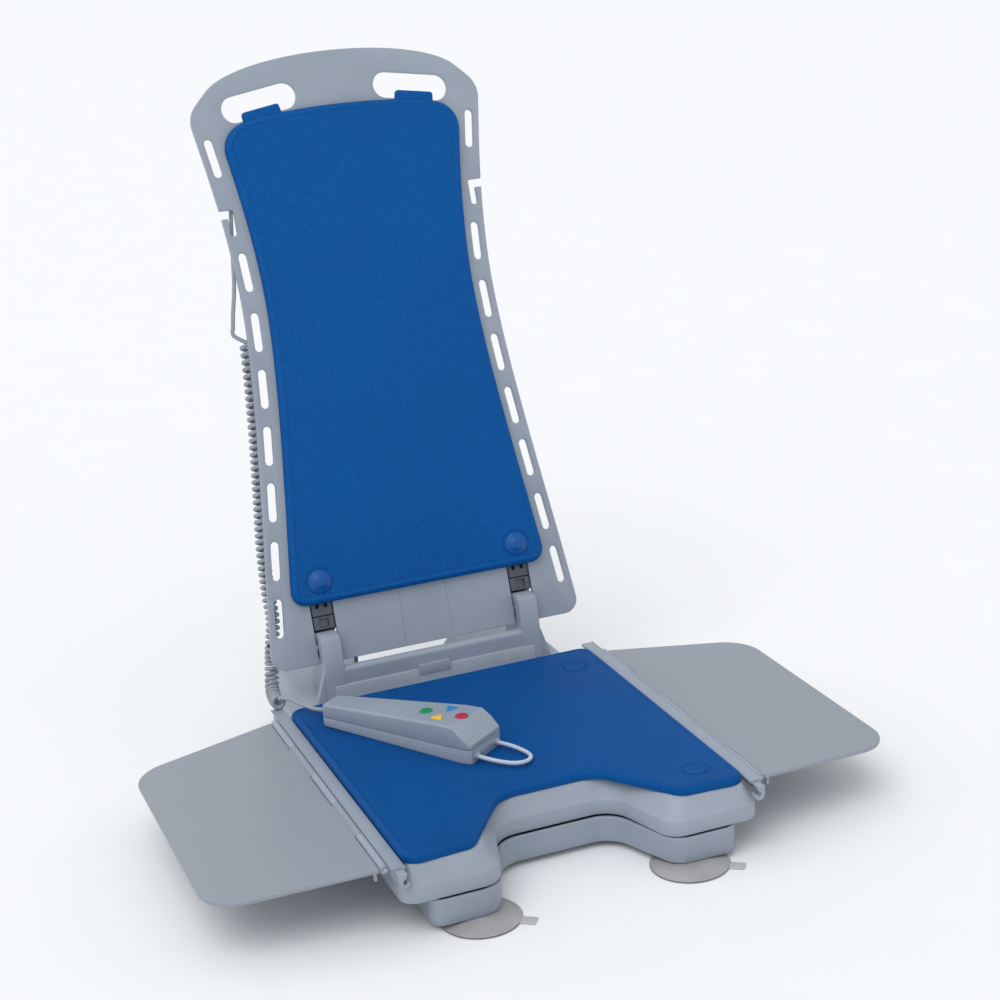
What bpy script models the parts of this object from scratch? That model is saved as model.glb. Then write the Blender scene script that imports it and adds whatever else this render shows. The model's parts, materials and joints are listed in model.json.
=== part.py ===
"""Reclining bath lift: a scissor base, a lowering seat with side flaps and a hinged backrest.

Metres, +Z up, the sitter faces -Y. The origin is on the floor, under the middle of the object.
"""
import math

import bmesh
import bpy
from mathutils import Matrix, Vector

# ---------------------------------------------------------------- driving dimensions
GAP = 0.0003                # clearance left between neighbouring solids
ARC_STEP = math.radians(18)

# scissor: two crossed arms per side, seen flat at the lowest seat
ARM_LENGTH = 0.470          # pivot to pivot
PIVOT_Y = 0.215             # both fixed pivots, one above the other
BASE_PIVOT_Z = 0.020
SEAT_PIVOT_Z = 0.042
ARM_HEIGHT = 0.019
ARM_A_X = (0.116, 0.122)    # outer pair
ARM_B_X = (0.101, 0.107)    # inner pair
PIVOT_R = 0.006
STUB_R = 0.004
ROLLER_R = 0.0078

# base
BASE_HALF = 0.158
BASE_FRONT = -0.295
BASE_REAR = 0.258
BASE_Z = (0.006, 0.033)
BASE_WALL = 0.003
CUP_R = 0.039
CUP_X = 0.1085
CUP_FRONT_Y = -0.285
CUP_REAR_Y = 0.237

# seat
SHELL_HALF = 0.184
SHELL_FRONT = -0.292
SHELL_Z = (0.034, 0.068)
SHELL_EDGE = ((0.0010, 0.034), (0.0, 0.0355), (0.0, 0.0485), (0.0012, 0.0520), (0.0085, 0.0650),
              (0.0115, 0.068))  # (inset from the plan outline, height) up the shell's side
SHELL_HOLLOW = ((0.004, 0.024), (0.004, 0.048), (0.013, 0.062))
DECK_HALF = 0.161           # the narrower deck behind the backrest
DECK_START = 0.118
DECK_REAR = 0.252
DECK_NOTCH_HALF = 0.050
DECK_NOTCH_START = 0.165
PAD_Z = (0.0683, 0.076)
PAD_HALF = 0.1755
PAD_FRONT = -0.282
PAD_REAR = 0.098
NOTCH_BACK = -0.209         # back of the shell's front notch
NOTCH_HALF = 0.062          # half width of the shell's notch at its back
NOTCH_MOUTH = 0.087         # half width of the shell's notch at the front edge
NOTCH_BEND = 0.032          # corner radius at the back of the shell's and the tray's notch
MOUTH_BEND = 0.022          # corner radius where the notch meets the front edge
WALL_Y = (0.113, 0.122)
WALL_TOP = 0.104
LUG_X = (0.1045, 0.1265)

# flaps
HINGE_X = 0.193
HINGE_Z = 0.066
KNUCKLE_R = 0.0045
HINGE_ROD_R = 0.002
FLAP_DROOP = math.radians(3.3)
FLAP_WIDTH = 0.163
FLAP_THICK = 0.004
HINGE_FRONT = -0.273
HINGE_REAR = 0.092
RAIL_FRONT = -0.284
RAIL_REAR = 0.116

# backrest, in its own frame: origin on the recline axis, y up the plate, z towards the sitter
RECLINE_Y = 0.139
RECLINE_Z = 0.122
LEAN = math.radians(17.06)
PLATE_Z = (0.003, 0.009)
PLATE_BOTTOM = -0.017
PLATE_CORNER_TOP = 0.588
PLATE_CROWN = 0.643
CUTOUT_X = (0.1025, 0.1285)
CUTOUT_TOP = 0.056
BOSS_X = (0.0880, 0.1430)   # hinge bosses run from each cut-out to these
RIB_X = 0.062
RIB_HALF = 0.002
SLOT_HEIGHTS = (0.040, 0.102, 0.165, 0.226, 0.2875, 0.349, 0.4145, 0.540)
SLOT_LENGTH = 0.0425
SLOT_WIDTH = 0.0095
SLOT_INSET = 0.0115
GRIP_AT = (0.0870, 0.594)
GRIP_SIZE = (0.086, 0.029)
GRIP_TILT = math.radians(-9)
HOOK_Z = (0.455, 0.474, 0.483)      # foot of the J notch, top of its lip, top of its mouth
HOOK_INSET = (0.0070, 0.0145)
LATCH_HALF = 0.0115
LATCH_BLOCK_Y = (0.0195, 0.0335)
LATCH_CLIP_Y = (0.0345, 0.042, 0.050, 0.054)    # foot, valleys, middle peak, side peaks
BACK_PAD_Z = (0.0093, 0.0190)
BACK_PIN_R = 0.005

# handset, in its own frame: origin under its rear end, x forwards, z up
HANDSET_AT = (-0.144, 0.046, 0.0763)
HANDSET_TURN = math.radians(-54.3)
HANDSET_LENGTH = 0.196
KEY_R = 0.0062
KEY_POCKET = 0.004
KEY_UP = 0.0012

# cord
CORD_R = 0.0023
COIL_R = 0.008


# ---------------------------------------------------------------- helpers
def clear_scene():
    for thing in list(bpy.data.objects):
        bpy.data.objects.remove(thing, do_unlink=True)


def material(name, colour, roughness=0.45, metallic=0.0):
    found = bpy.data.materials.get(name)
    if found:
        return found
    made = bpy.data.materials.new(name)
    made.use_nodes = True
    shader = made.node_tree.nodes["Principled BSDF"]
    shader.inputs["Base Color"].default_value = (*colour, 1.0)
    shader.inputs["Roughness"].default_value = roughness
    shader.inputs["Metallic"].default_value = metallic
    return made


def grey():
    return material("grey_plastic", (0.33, 0.37, 0.44), 0.5)


def flap_grey():
    return material("flap_plastic", (0.38, 0.41, 0.45), 0.5)


def dark():
    return material("dark_plastic", (0.08, 0.10, 0.13), 0.5)


def blue():
    return material("blue_vinyl", (0.005, 0.09, 0.33), 0.6)


def steel():
    return material("steel", (0.55, 0.56, 0.58), 0.3, 1.0)


def soft_grey():
    return material("cup_rubber", (0.42, 0.42, 0.43), 0.4)


def cord_grey():
    return material("cord_grey", (0.36, 0.40, 0.46), 0.5)


def add_object(name, data, skin, parent=None):
    thing = bpy.data.objects.new(name, data)
    bpy.context.scene.collection.objects.link(thing)
    data.materials.clear()
    data.materials.append(skin)
    thing.parent = parent
    return thing


def mesh_object(name, bm, skin, parent=None):
    bmesh.ops.recalc_face_normals(bm, faces=bm.faces)
    data = bpy.data.meshes.new(name)
    bm.to_mesh(data)
    bm.free()
    data.shade_smooth()
    data.set_sharp_from_angle(angle=math.radians(40))
    return add_object(name, data, skin, parent)


def empty(name, at, turn=(0.0, 0.0, 0.0)):
    marker = bpy.data.objects.new(name, None)
    bpy.context.scene.collection.objects.link(marker)
    marker.location = at
    marker.rotation_euler = turn
    bpy.context.view_layer.update()
    return marker


def rounded(corners):
    """Closed outline from (x, y, radius) corners, each corner turned into an arc."""
    outline = []
    count = len(corners)
    for index, (x, y, radius) in enumerate(corners):
        here = Vector((x, y))
        before = (Vector(corners[index - 1][:2]) - here).normalized()
        after = (Vector(corners[(index + 1) % count][:2]) - here).normalized()
        half = before.angle(after) / 2
        if radius <= 0 or half > math.radians(88):
            outline.append((x, y))
            continue
        middle = here + (before + after).normalized() * radius / math.sin(half)
        first = here + before * radius / math.tan(half) - middle
        last = here + after * radius / math.tan(half) - middle
        sweep = first.angle_signed(last)
        steps = max(2, math.ceil(abs(sweep) / ARC_STEP))
        for step in range(steps + 1):
            arm = first.copy()
            arm.rotate(Matrix.Rotation(-sweep * step / steps, 2))
            outline.append(tuple(middle + arm))
    return outline


def mirrored(half_side):
    """Whole outline from its +X half, listed from the front edge round to the rear."""
    return half_side + [(-x, *rest) for x, *rest in reversed(half_side)]


def capsule(centre, length, width, angle=0.0):
    """Slot outline with round ends, its long side turned by angle from the x axis."""
    radius = width / 2
    reach = length / 2 - radius
    points = []
    for side in (0, 1):
        for step in range(7):
            turn = -math.pi / 2 + side * math.pi + step * math.pi / 6
            along = (reach if side == 0 else -reach) + radius * math.cos(turn)
            across = radius * math.sin(turn)
            points.append((centre[0] + along * math.cos(angle) - across * math.sin(angle),
                           centre[1] + along * math.sin(angle) + across * math.cos(angle)))
    return points


def prism(name, outline, low, high, skin, parent=None, bevel=0.0, segments=2):
    """Outline in the frame's x and y, raised from low to high."""
    bm = bmesh.new()
    floor = bm.faces.new([bm.verts.new((x, y, low)) for x, y in outline])
    lifted = bmesh.ops.extrude_face_region(bm, geom=[floor])
    top = [item for item in lifted["geom"] if isinstance(item, bmesh.types.BMVert)]
    bmesh.ops.translate(bm, verts=top, vec=(0, 0, high - low))
    thing = mesh_object(name, bm, skin, parent)
    if bevel:
        add_bevel(thing, bevel, segments)
    return thing


def stacked(name, outlines, skin):
    """Solid lofted through (outline, height) pairs whose outlines have the same number of points."""
    bm = bmesh.new()
    rings = [[bm.verts.new((x, y, height)) for x, y in outline] for outline, height in outlines]
    for low, high in zip(rings, rings[1:]):
        for index in range(len(low)):
            ahead = (index + 1) % len(low)
            bm.faces.new((low[index], low[ahead], high[ahead], high[index]))
    bm.faces.new(rings[0])
    bm.faces.new(rings[-1])
    return mesh_object(name, bm, skin)


def add_bevel(thing, width, segments=2):
    edge = thing.modifiers.new("edge_round", "BEVEL")
    edge.width = width
    edge.segments = segments
    edge.limit_method = "ANGLE"
    edge.angle_limit = math.radians(40)


def side_prism(name, outline, x_low, x_high, skin, parent=None, bevel=0.0):
    """Outline in y and z, carried along x."""
    thing = prism(name, outline, x_low, x_high, skin, parent, bevel)
    thing.data.transform(Matrix(((0, 0, 1, 0), (1, 0, 0, 0), (0, 1, 0, 0), (0, 0, 0, 1))))
    return thing


def turned(name, profile, skin, parent=None, sides=24):
    """Solid of revolution about z from (radius, z) points, bottom to top."""
    bm = bmesh.new()
    rings = []
    for radius, z in profile:
        if radius == 0:
            rings.append([bm.verts.new((0, 0, z))])
            continue
        rings.append([bm.verts.new((radius * math.cos(2 * math.pi * side / sides),
                                    radius * math.sin(2 * math.pi * side / sides), z))
                      for side in range(sides)])
    for low, high in zip(rings, rings[1:]):
        for side in range(sides):
            ahead = (side + 1) % sides
            face = [low[side % len(low)], low[ahead % len(low)],
                    high[ahead % len(high)], high[side % len(high)]]
            bm.faces.new(list(dict.fromkeys(face)))
    return mesh_object(name, bm, skin, parent)


def rod(name, start, end, radius, skin, parent=None, sides=16, bore=0.0):
    """Cylinder, or tube where bore is given, between two points."""
    start = Vector(start)
    along = Vector(end) - start
    length = along.length
    if bore:
        profile = [(bore, 0), (radius, 0), (radius, length), (bore, length), (bore, 0)]
    else:
        profile = [(0, 0), (radius, 0), (radius, length), (0, length)]
    thing = turned(name, profile, skin, parent, sides)
    if bore:
        weld(thing)
    return aim(thing, start, along)


def aim(thing, start, along):
    """Move a piece turned about z so that it starts at a point and runs along a direction."""
    turn = along.to_track_quat("Z", "Y").to_matrix().to_4x4()
    thing.data.transform(Matrix.Translation(start) @ turn)
    return thing


def weld(thing):
    bm = bmesh.new()
    bm.from_mesh(thing.data)
    bmesh.ops.remove_doubles(bm, verts=bm.verts, dist=0.000001)
    bmesh.ops.recalc_face_normals(bm, faces=bm.faces)
    bm.to_mesh(thing.data)
    bm.free()


def boolean(target, tool, operation):
    tool.hide_render = True
    tool.display_type = "WIRE"
    step = target.modifiers.new(operation.lower(), "BOOLEAN")
    step.operation = operation
    step.solver = "EXACT"
    step.object = tool


def cut(target, *tools):
    for tool in tools:
        boolean(target, tool, "DIFFERENCE")


def join(target, *tools):
    for tool in tools:
        boolean(target, tool, "UNION")


def box(name, low, high, skin, parent=None, bevel=0.0):
    outline = [(low[0], low[1]), (high[0], low[1]), (high[0], high[1]), (low[0], high[1])]
    return prism(name, outline, low[2], high[2], skin, parent, bevel)


def smooth_points(route, spacing):
    """Points read every spacing or so from a smooth curve through the route."""
    ends = [2 * Vector(route[0]) - Vector(route[1])]
    knots = ends + [Vector(point) for point in route] + [2 * Vector(route[-1]) - Vector(route[-2])]
    points = []
    for index in range(1, len(knots) - 2):
        p0, p1, p2, p3 = knots[index - 1:index + 3]
        steps = max(1, round((p2 - p1).length / spacing))
        for step in range(steps):
            t = step / steps
            points.append(0.5 * (2 * p1 + (p2 - p0) * t + (2 * p0 - 5 * p1 + 4 * p2 - p3) * t ** 2
                                 + (3 * p1 - p0 - 3 * p2 + p3) * t ** 3))
    points.append(knots[-2])
    return points


def tube(name, route, radius, skin, parent=None, spacing=None, resolution=2):
    curve = bpy.data.curves.new(name, "CURVE")
    curve.dimensions = "3D"
    curve.bevel_depth = radius
    curve.bevel_resolution = resolution
    curve.use_fill_caps = True
    points = smooth_points(route, spacing or 6 * radius)
    spline = curve.splines.new("POLY")
    spline.points.add(len(points) - 1)
    for knot, point in zip(spline.points, points):
        knot.co = (*point, 1.0)
    return add_object(name, curve, skin, parent)


# ---------------------------------------------------------------- base
def notched_front(half, front, rear, notch_back, notch_half, mouth, corner):
    """+X half of a plan outline with a soft notch in its front edge."""
    return [(notch_half, notch_back, NOTCH_BEND), (mouth, front, MOUTH_BEND), (half, front, corner),
            (half, rear, corner)]


def base_tray():
    plan = rounded(mirrored(notched_front(BASE_HALF, BASE_FRONT, BASE_REAR, -0.213, 0.058, 0.090, 0.012)))
    tray = prism("base_tray", plan, *BASE_Z, grey(), bevel=0.002, segments=1)
    hollow = rounded(mirrored(notched_front(
        BASE_HALF - BASE_WALL, BASE_FRONT + BASE_WALL, BASE_REAR - BASE_WALL,
        -0.213 + BASE_WALL, 0.058 + BASE_WALL, 0.090 + BASE_WALL, 0.017)))
    floor = BASE_Z[0] + BASE_WALL
    cut(tray, prism("base_hollow_tool", hollow, floor, BASE_Z[1] + 0.01, grey()))
    for side in (-1, 1):
        tag = "r" if side > 0 else "l"
        inner = 0.1075 * side
        outer = 0.1155 * side
        track = box(f"base_track_tool_{tag}", (min(inner, outer), -0.268, floor - 0.001),
                    (max(inner, outer), 0.02, BASE_PIVOT_Z - ROLLER_R - GAP), grey())
        join(tray, track)
        lug_outline = [(PIVOT_Y - 0.012, floor - 0.001), (PIVOT_Y + 0.012, floor - 0.001),
                       (PIVOT_Y + 0.009, BASE_PIVOT_Z + 0.009), (PIVOT_Y - 0.009, BASE_PIVOT_Z + 0.009)]
        low, high = sorted((0.1235 * side, 0.1295 * side))
        join(tray, side_prism(f"base_lug_tool_{tag}", lug_outline, low, high, grey()))
    bore = rod("base_bore_tool", (-0.14, PIVOT_Y, BASE_PIVOT_Z), (0.14, PIVOT_Y, BASE_PIVOT_Z),
               PIVOT_R + GAP, grey())
    cut(tray, bore)
    for name, x, y in cup_places():
        hole = rod(f"{name}_hole_tool", (x, y, 0), (x, y, 0.02), 0.0048, grey())
        cut(tray, hole)


def cup_places():
    places = []
    for end, y in (("front", CUP_FRONT_Y), ("rear", CUP_REAR_Y)):
        for tag, x in (("l", -CUP_X), ("r", CUP_X)):
            places.append((f"suction_cup_{end}_{tag}", x, y))
    return places


def suction_cup(name, x, y):
    """Flat cup with a hollow underside, a button stem through the tray's floor and a pull tab."""
    top = BASE_Z[0] - GAP
    floor_top = BASE_Z[0] + BASE_WALL + GAP
    profile = [(0, 0.0022), (0.022, 0.0016), (0.035, 0.0), (CUP_R, 0.0), (CUP_R, 0.0012),
               (0.026, 0.0045), (0.013, top), (0.0045, top), (0.0045, floor_top), (0.0065, floor_top),
               (0.0065, floor_top + 0.002), (0, floor_top + 0.002)]
    cup = turned(name, profile, soft_grey(), sides=28)
    cup.location = (x, y, 0)
    outwards = -1 if y < 0 else 1
    tab = box(f"{name}_tab_tool", (-0.0065, 0, 0), (0.0065, 0.054, 0.0011), soft_grey())
    tab.location = (x, y, 0)
    tab.rotation_euler = (0, 0, math.radians(-125) if outwards < 0 else math.radians(-30))
    join(cup, tab)


# ---------------------------------------------------------------- scissor arms
def arm_ends():
    rise = SEAT_PIVOT_Z - BASE_PIVOT_Z
    run = math.sqrt(ARM_LENGTH ** 2 - rise ** 2)
    front = PIVOT_Y - run
    return {"a": (Vector((PIVOT_Y, BASE_PIVOT_Z)), Vector((front, SEAT_PIVOT_Z))),
            "b": (Vector((PIVOT_Y, SEAT_PIVOT_Z)), Vector((front, BASE_PIVOT_Z)))}


def mid_pivot():
    fixed, sliding = arm_ends()["a"]
    return (fixed + sliding) / 2


def arm(letter, side, x_range):
    """Flat bar with a fixed pivot bore, a mid bore and a stub for its roller."""
    fixed, sliding = arm_ends()[letter]
    tag = "r" if side > 0 else "l"
    along = sliding - fixed
    centre = (fixed + sliding) / 2
    outline = capsule(centre, along.length + ARM_HEIGHT, ARM_HEIGHT, math.atan2(along.y, along.x))
    low, high = sorted((x_range[0] * side, x_range[1] * side))
    bar = side_prism(f"arm_{letter}_{tag}", outline, low, high, steel())
    stub = rod(f"arm_{letter}_{tag}_stub_tool", ((x_range[1] - 0.001) * side, *sliding),
               ((x_range[1] + 0.0085) * side, *sliding), STUB_R, steel())
    join(bar, stub)
    for spot, radius in ((fixed, PIVOT_R + GAP), (centre, 0.005 + GAP)):
        cut(bar, rod(f"arm_{letter}_{tag}_bore_tool", (0.09 * side, *spot), (0.13 * side, *spot),
                     radius, steel()))


def roller(letter, side, x_range):
    sliding = arm_ends()[letter][1]
    tag = "r" if side > 0 else "l"
    inner = (x_range[1] + 0.0005) * side
    outer = (x_range[1] + 0.0080) * side
    rod(f"roller_{letter}_{tag}", (inner, *sliding), (outer, *sliding), ROLLER_R, dark(),
        sides=20, bore=STUB_R + GAP)


def mid_pin(side):
    """Shouldered pin through both bars where they cross."""
    tag = "r" if side > 0 else "l"
    head = 0.0018
    grip = ARM_A_X[1] - ARM_B_X[0] + 2 * GAP
    profile = [(0, 0), (0.008, 0), (0.008, head), (0.005, head), (0.005, head + grip), (0.008, head + grip),
               (0.008, 2 * head + grip), (0, 2 * head + grip)]
    pin = turned(f"mid_pin_{tag}", profile, steel(), sides=16)
    start = Vector(((ARM_B_X[0] - GAP - head) * side, *mid_pivot()))
    aim(pin, start, Vector((side, 0, 0)))


def scissor():
    for side in (-1, 1):
        arm("a", side, ARM_A_X)
        arm("b", side, ARM_B_X)
        roller("a", side, ARM_A_X)
        roller("b", side, ARM_B_X)
        mid_pin(side)
    rod("arm_a_rod", (-0.132, PIVOT_Y, BASE_PIVOT_Z), (0.132, PIVOT_Y, BASE_PIVOT_Z), PIVOT_R, steel())
    rod("arm_b_rod", (-0.1085, PIVOT_Y, SEAT_PIVOT_Z), (0.1085, PIVOT_Y, SEAT_PIVOT_Z), PIVOT_R, steel())
    fixed, sliding = arm_ends()["b"]
    tie = fixed.lerp(sliding, 0.72)
    reach = ARM_B_X[0] - GAP
    rod("arm_b_tie", (-reach, *tie), (reach, *tie), PIVOT_R, steel())


# ---------------------------------------------------------------- seat
def shell_plan(inset):
    """Seat outline: notched front, full width to the rails' end, narrower deck, rear notch."""
    side = SHELL_HALF - inset
    deck = DECK_HALF - inset
    rear = DECK_REAR - inset
    return rounded(mirrored([
        (NOTCH_HALF + inset, NOTCH_BACK + inset, NOTCH_BEND), (NOTCH_MOUTH + inset, SHELL_FRONT + inset, MOUTH_BEND),
        (side, SHELL_FRONT + inset, 0.017 - inset), (side, DECK_START - inset, 0.008),
        (deck, DECK_START - inset, 0.004), (deck, rear, 0.016 - inset),
        (DECK_NOTCH_HALF + inset, rear, 0.015 - inset), (DECK_NOTCH_HALF + inset, DECK_NOTCH_START - inset, 0.010)]))


def lug_outline():
    """Side view of a backrest lug: a foot on the deck and a round head about the recline axis."""
    head = []
    for step in range(9):
        turn = math.radians(200 - step * 25)
        head.append((RECLINE_Y + 0.0175 * math.cos(turn), RECLINE_Z + 0.0175 * math.sin(turn)))
    return [(RECLINE_Y + 0.034, SHELL_Z[1] - 0.002), (WALL_Y[0], SHELL_Z[1] - 0.002),
            (WALL_Y[0], RECLINE_Z - 0.022)] + head


def seat_shell():
    shell = stacked("seat_shell", [(shell_plan(inset), height) for inset, height in SHELL_EDGE], grey())
    cut(shell, stacked("seat_hollow_tool", [(shell_plan(inset), height) for inset, height in SHELL_HOLLOW], grey()))
    wall_side = [(WALL_Y[0], SHELL_Z[1] - 0.002), (WALL_Y[1], SHELL_Z[1] - 0.002), (WALL_Y[1], WALL_TOP),
                 (WALL_Y[0] + 0.005, WALL_TOP), (WALL_Y[0], WALL_TOP - 0.006)]
    join(shell, side_prism("seat_wall_tool", wall_side, -LUG_X[0] - 0.002, LUG_X[0] + 0.002, grey()))
    bore = rod("seat_lug_bore_tool", (-0.15, RECLINE_Y, RECLINE_Z), (0.15, RECLINE_Y, RECLINE_Z),
               BACK_PIN_R + GAP, grey())
    for side in (-1, 1):
        tag = "r" if side > 0 else "l"
        low, high = sorted((LUG_X[0] * side, LUG_X[1] * side))
        join(shell, side_prism(f"seat_lug_tool_{tag}", lug_outline(), low, high, grey()))
        low, high = sorted((0.0940 * side, 0.1000 * side))
        hanger = [(PIVOT_Y - 0.013, SHELL_Z[1] - 0.005), (PIVOT_Y - 0.009, SEAT_PIVOT_Z - 0.009),
                  (PIVOT_Y + 0.009, SEAT_PIVOT_Z - 0.009), (PIVOT_Y + 0.013, SHELL_Z[1] - 0.005)]
        join(shell, side_prism(f"seat_hanger_tool_{tag}", hanger, low, high, grey()))
    cut(shell, bore)
    cut(shell, rod("seat_hanger_bore_tool", (-0.12, PIVOT_Y, SEAT_PIVOT_Z), (0.12, PIVOT_Y, SEAT_PIVOT_Z),
                   PIVOT_R + GAP, grey()))


def seat_track(side):
    """Channel under the seat: the outer arms' rollers run against its ceiling."""
    tag = "r" if side > 0 else "l"
    low, high = sorted((0.1222 * side, 0.1325 * side))
    ceiling = SEAT_PIVOT_Z + ROLLER_R + GAP
    track = box(f"seat_track_{tag}", (low, -0.276, SEAT_PIVOT_Z - 0.004),
                (high, 0.070, SHELL_Z[1] - 0.006 - GAP), steel())
    low, high = sorted((0.1200 * side, 0.1311 * side))
    cut(track, box(f"seat_track_{tag}_tool", (low, -0.30, SEAT_PIVOT_Z - 0.010), (high, 0.10, ceiling), steel()))


def pad_plan():
    return rounded(mirrored([(0.050, -0.197, 0.034), (0.103, -0.2715, 0.010), (0.110, PAD_FRONT + 0.004, 0.010),
                             (PAD_HALF, PAD_FRONT, 0.016), (PAD_HALF, PAD_REAR, 0.014)]))


def seat_button_places():
    for end, y in (("front", -0.243), ("rear", 0.050)):
        for tag, x in (("l", -0.1386), ("r", 0.1386)):
            yield f"seat_button_{end}_{tag}", x, y


def seat_pad():
    pad = prism("seat_pad", pad_plan(), *PAD_Z, blue(), bevel=0.003, segments=1)
    for name, x, y in seat_button_places():
        cut(pad, rod(f"{name}_hole_tool", (x, y, 0.065), (x, y, 0.08), 0.0145, blue(), sides=24))
        button = turned(name, [(0, PAD_Z[0]), (0.0137, PAD_Z[0]), (0.0137, PAD_Z[1] - 0.0008),
                               (0.0125, PAD_Z[1]), (0, PAD_Z[1] + 0.0004)], blue(), sides=24)
        button.location = (x, y, 0)


def knuckle_spans():
    """Five knuckles along the hinge: even ones on the rail, odd ones on the flap."""
    length = (HINGE_REAR - HINGE_FRONT) / 5
    for index in range(5):
        start = HINGE_FRONT + index * length
        yield index, start + GAP, start + length - GAP


def side_rail(side):
    tag = "r" if side > 0 else "l"
    inner, outer = (PAD_HALF + 0.0015) * side, (HINGE_X - KNUCKLE_R - 0.0005) * side
    low, high = sorted((inner, outer))
    rail = box(f"side_rail_{tag}", (low, RAIL_FRONT, SHELL_Z[1] + GAP), (high, RAIL_REAR, 0.0712), grey())
    low, high = sorted(((SHELL_HALF + 0.0004) * side, outer))
    join(rail, box(f"side_rail_{tag}_skirt_tool", (low, RAIL_FRONT, 0.058), (high, RAIL_REAR, 0.0705), grey()))
    for index, start, end in knuckle_spans():
        if index % 2 == 0:
            add_knuckle(rail, f"side_rail_{tag}_knuckle_tool_{index}", side, start, end, outer)
    cut(rail, rod(f"side_rail_{tag}_bore_tool", (HINGE_X * side, -0.3, HINGE_Z), (HINGE_X * side, 0.2, HINGE_Z),
                  HINGE_ROD_R + GAP, grey(), sides=12))


def add_knuckle(target, name, side, start, end, reach, parent=None, at=(0.0, 0.0)):
    """Barrel on the hinge axis with a web to its leaf; at is the axis in the leaf's frame."""
    axis_x, axis_z = (HINGE_X * side, HINGE_Z) if parent is None else at
    barrel = rod(name, (axis_x, start, axis_z), (axis_x, end, axis_z), KNUCKLE_R, grey(), parent, sides=12)
    low, high = sorted((axis_x, reach + 0.001 * (1 if reach > axis_x else -1)))
    web = box(f"{name}_web", (low, start, axis_z - 0.0019), (high, end, axis_z + 0.0019), grey(), parent)
    join(target, barrel, web)


def flap(side):
    """Thin side flap with rounded outer corners, hinged along the seat's rail."""
    tag = "r" if side > 0 else "l"
    axis = empty(f"flap_{tag}_axis", (HINGE_X * side, 0, HINGE_Z), (0, FLAP_DROOP * side, 0))
    inner = KNUCKLE_R + 0.0006
    plan = rounded([(inner, HINGE_FRONT, 0), (FLAP_WIDTH, HINGE_FRONT + 0.019, 0.042),
                    (FLAP_WIDTH, HINGE_REAR - 0.034, 0.040), (inner, HINGE_REAR, 0)])
    if side < 0:
        plan = [(-x, y) for x, y in reversed(plan)]
    leaf = prism(f"flap_{tag}", plan, -FLAP_THICK / 2, FLAP_THICK / 2, flap_grey(), axis, bevel=0.001, segments=1)
    for index, start, end in knuckle_spans():
        if index % 2 == 1:
            add_knuckle(leaf, f"flap_{tag}_knuckle_tool_{index}", side, start, end, inner * side, axis)
    cut(leaf, rod(f"flap_{tag}_bore_tool", (0, -0.3, 0), (0, 0.2, 0), HINGE_ROD_R + GAP, flap_grey(), axis, sides=12))
    rod(f"flap_rod_{tag}", (HINGE_X * side, HINGE_FRONT, HINGE_Z), (HINGE_X * side, HINGE_REAR, HINGE_Z),
        HINGE_ROD_R, steel(), sides=12)


def drive():
    """Sealed gear motor under the seat with its lead screw running forwards."""
    ceiling = SHELL_Z[1] - 0.006 - GAP
    unit = box("drive_unit", (-0.042, 0.030, 0.026), (0.042, 0.108, ceiling), dark(), bevel=0.004)
    join(unit, rod("drive_unit_motor_tool", (0.020, 0.100, 0.043), (0.020, 0.148, 0.043), 0.016, dark(), sides=24))
    rod("drive_screw", (-0.015, 0.030 - GAP, 0.044), (-0.015, -0.160, 0.044), 0.005, steel(), sides=16)
    block = box("screw_bearing", (-0.030, -0.172, 0.034), (0.0, -0.150, ceiling), dark(), bevel=0.002)
    cut(block, rod("screw_bearing_tool", (-0.015, -0.18, 0.044), (-0.015, -0.14, 0.044), 0.005 + GAP, dark(), sides=16))


def seat():
    seat_shell()
    seat_pad()
    drive()
    for side in (-1, 1):
        seat_track(side)
        side_rail(side)
        flap(side)
    label = [(-0.021, 0.078), (0.016, 0.078), (0.016, 0.090), (-0.021, 0.090)]
    plate = prism("seat_label", label, -WALL_Y[0] + GAP, -WALL_Y[0] + 0.0013, grey(), bevel=0.0004, segments=1)
    plate.data.transform(Matrix.Rotation(math.radians(90), 4, "X"))


# ---------------------------------------------------------------- backrest
def plate_half_width(height):
    """Half width of the hourglass plate at a height above the recline axis."""
    knots = [(-0.017, 0.1815), (0.070, 0.1720), (0.180, 0.1590), (0.290, 0.1480), (0.380, 0.1440),
             (0.460, 0.1485), (0.540, 0.1590), (0.600, 0.1690)]
    return curve_through(knots, height)


def curve_through(knots, at):
    """Smooth value at one place, from a short list of (place, value) knots."""
    last = len(knots) - 2
    index = max(i for i in range(last + 1) if i == 0 or knots[i][0] <= at)
    (x1, y1), (x2, y2) = knots[index], knots[index + 1]
    slope = []
    for near in (index, index + 1):
        before, after = knots[max(near - 1, 0)], knots[min(near + 1, last + 1)]
        slope.append((after[1] - before[1]) / (after[0] - before[0]) * (x2 - x1))
    t = (at - x1) / (x2 - x1)
    return ((2 * t ** 3 - 3 * t ** 2 + 1) * y1 + (t ** 3 - 2 * t ** 2 + t) * slope[0]
            + (3 * t ** 2 - 2 * t ** 3) * y2 + (t ** 3 - t ** 2) * slope[1])


def hourglass(bottom, corner_top, crown, margin, corner, steps=14):
    """Outline with flared sides and an arched top, margin inside the plate's own outline."""
    side = [(0.0, bottom, 0), (plate_half_width(bottom) - margin, bottom, corner)]
    for step in range(1, steps):
        height = bottom + (corner_top - bottom) * step / steps
        side.append((plate_half_width(height) - margin, height, 0))
    shoulder = plate_half_width(corner_top) - margin
    side.append((shoulder, corner_top, 0.030))
    for step in range(1, 6):
        turn = math.radians(15 + step * 15)
        reach = shoulder * 0.92 * math.cos(turn)
        side.append((reach, corner_top + (crown - corner_top) * math.sin(turn) ** 0.8, 0))
    return rounded(mirrored([point for point in side if point[0] > 0.001]))


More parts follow.
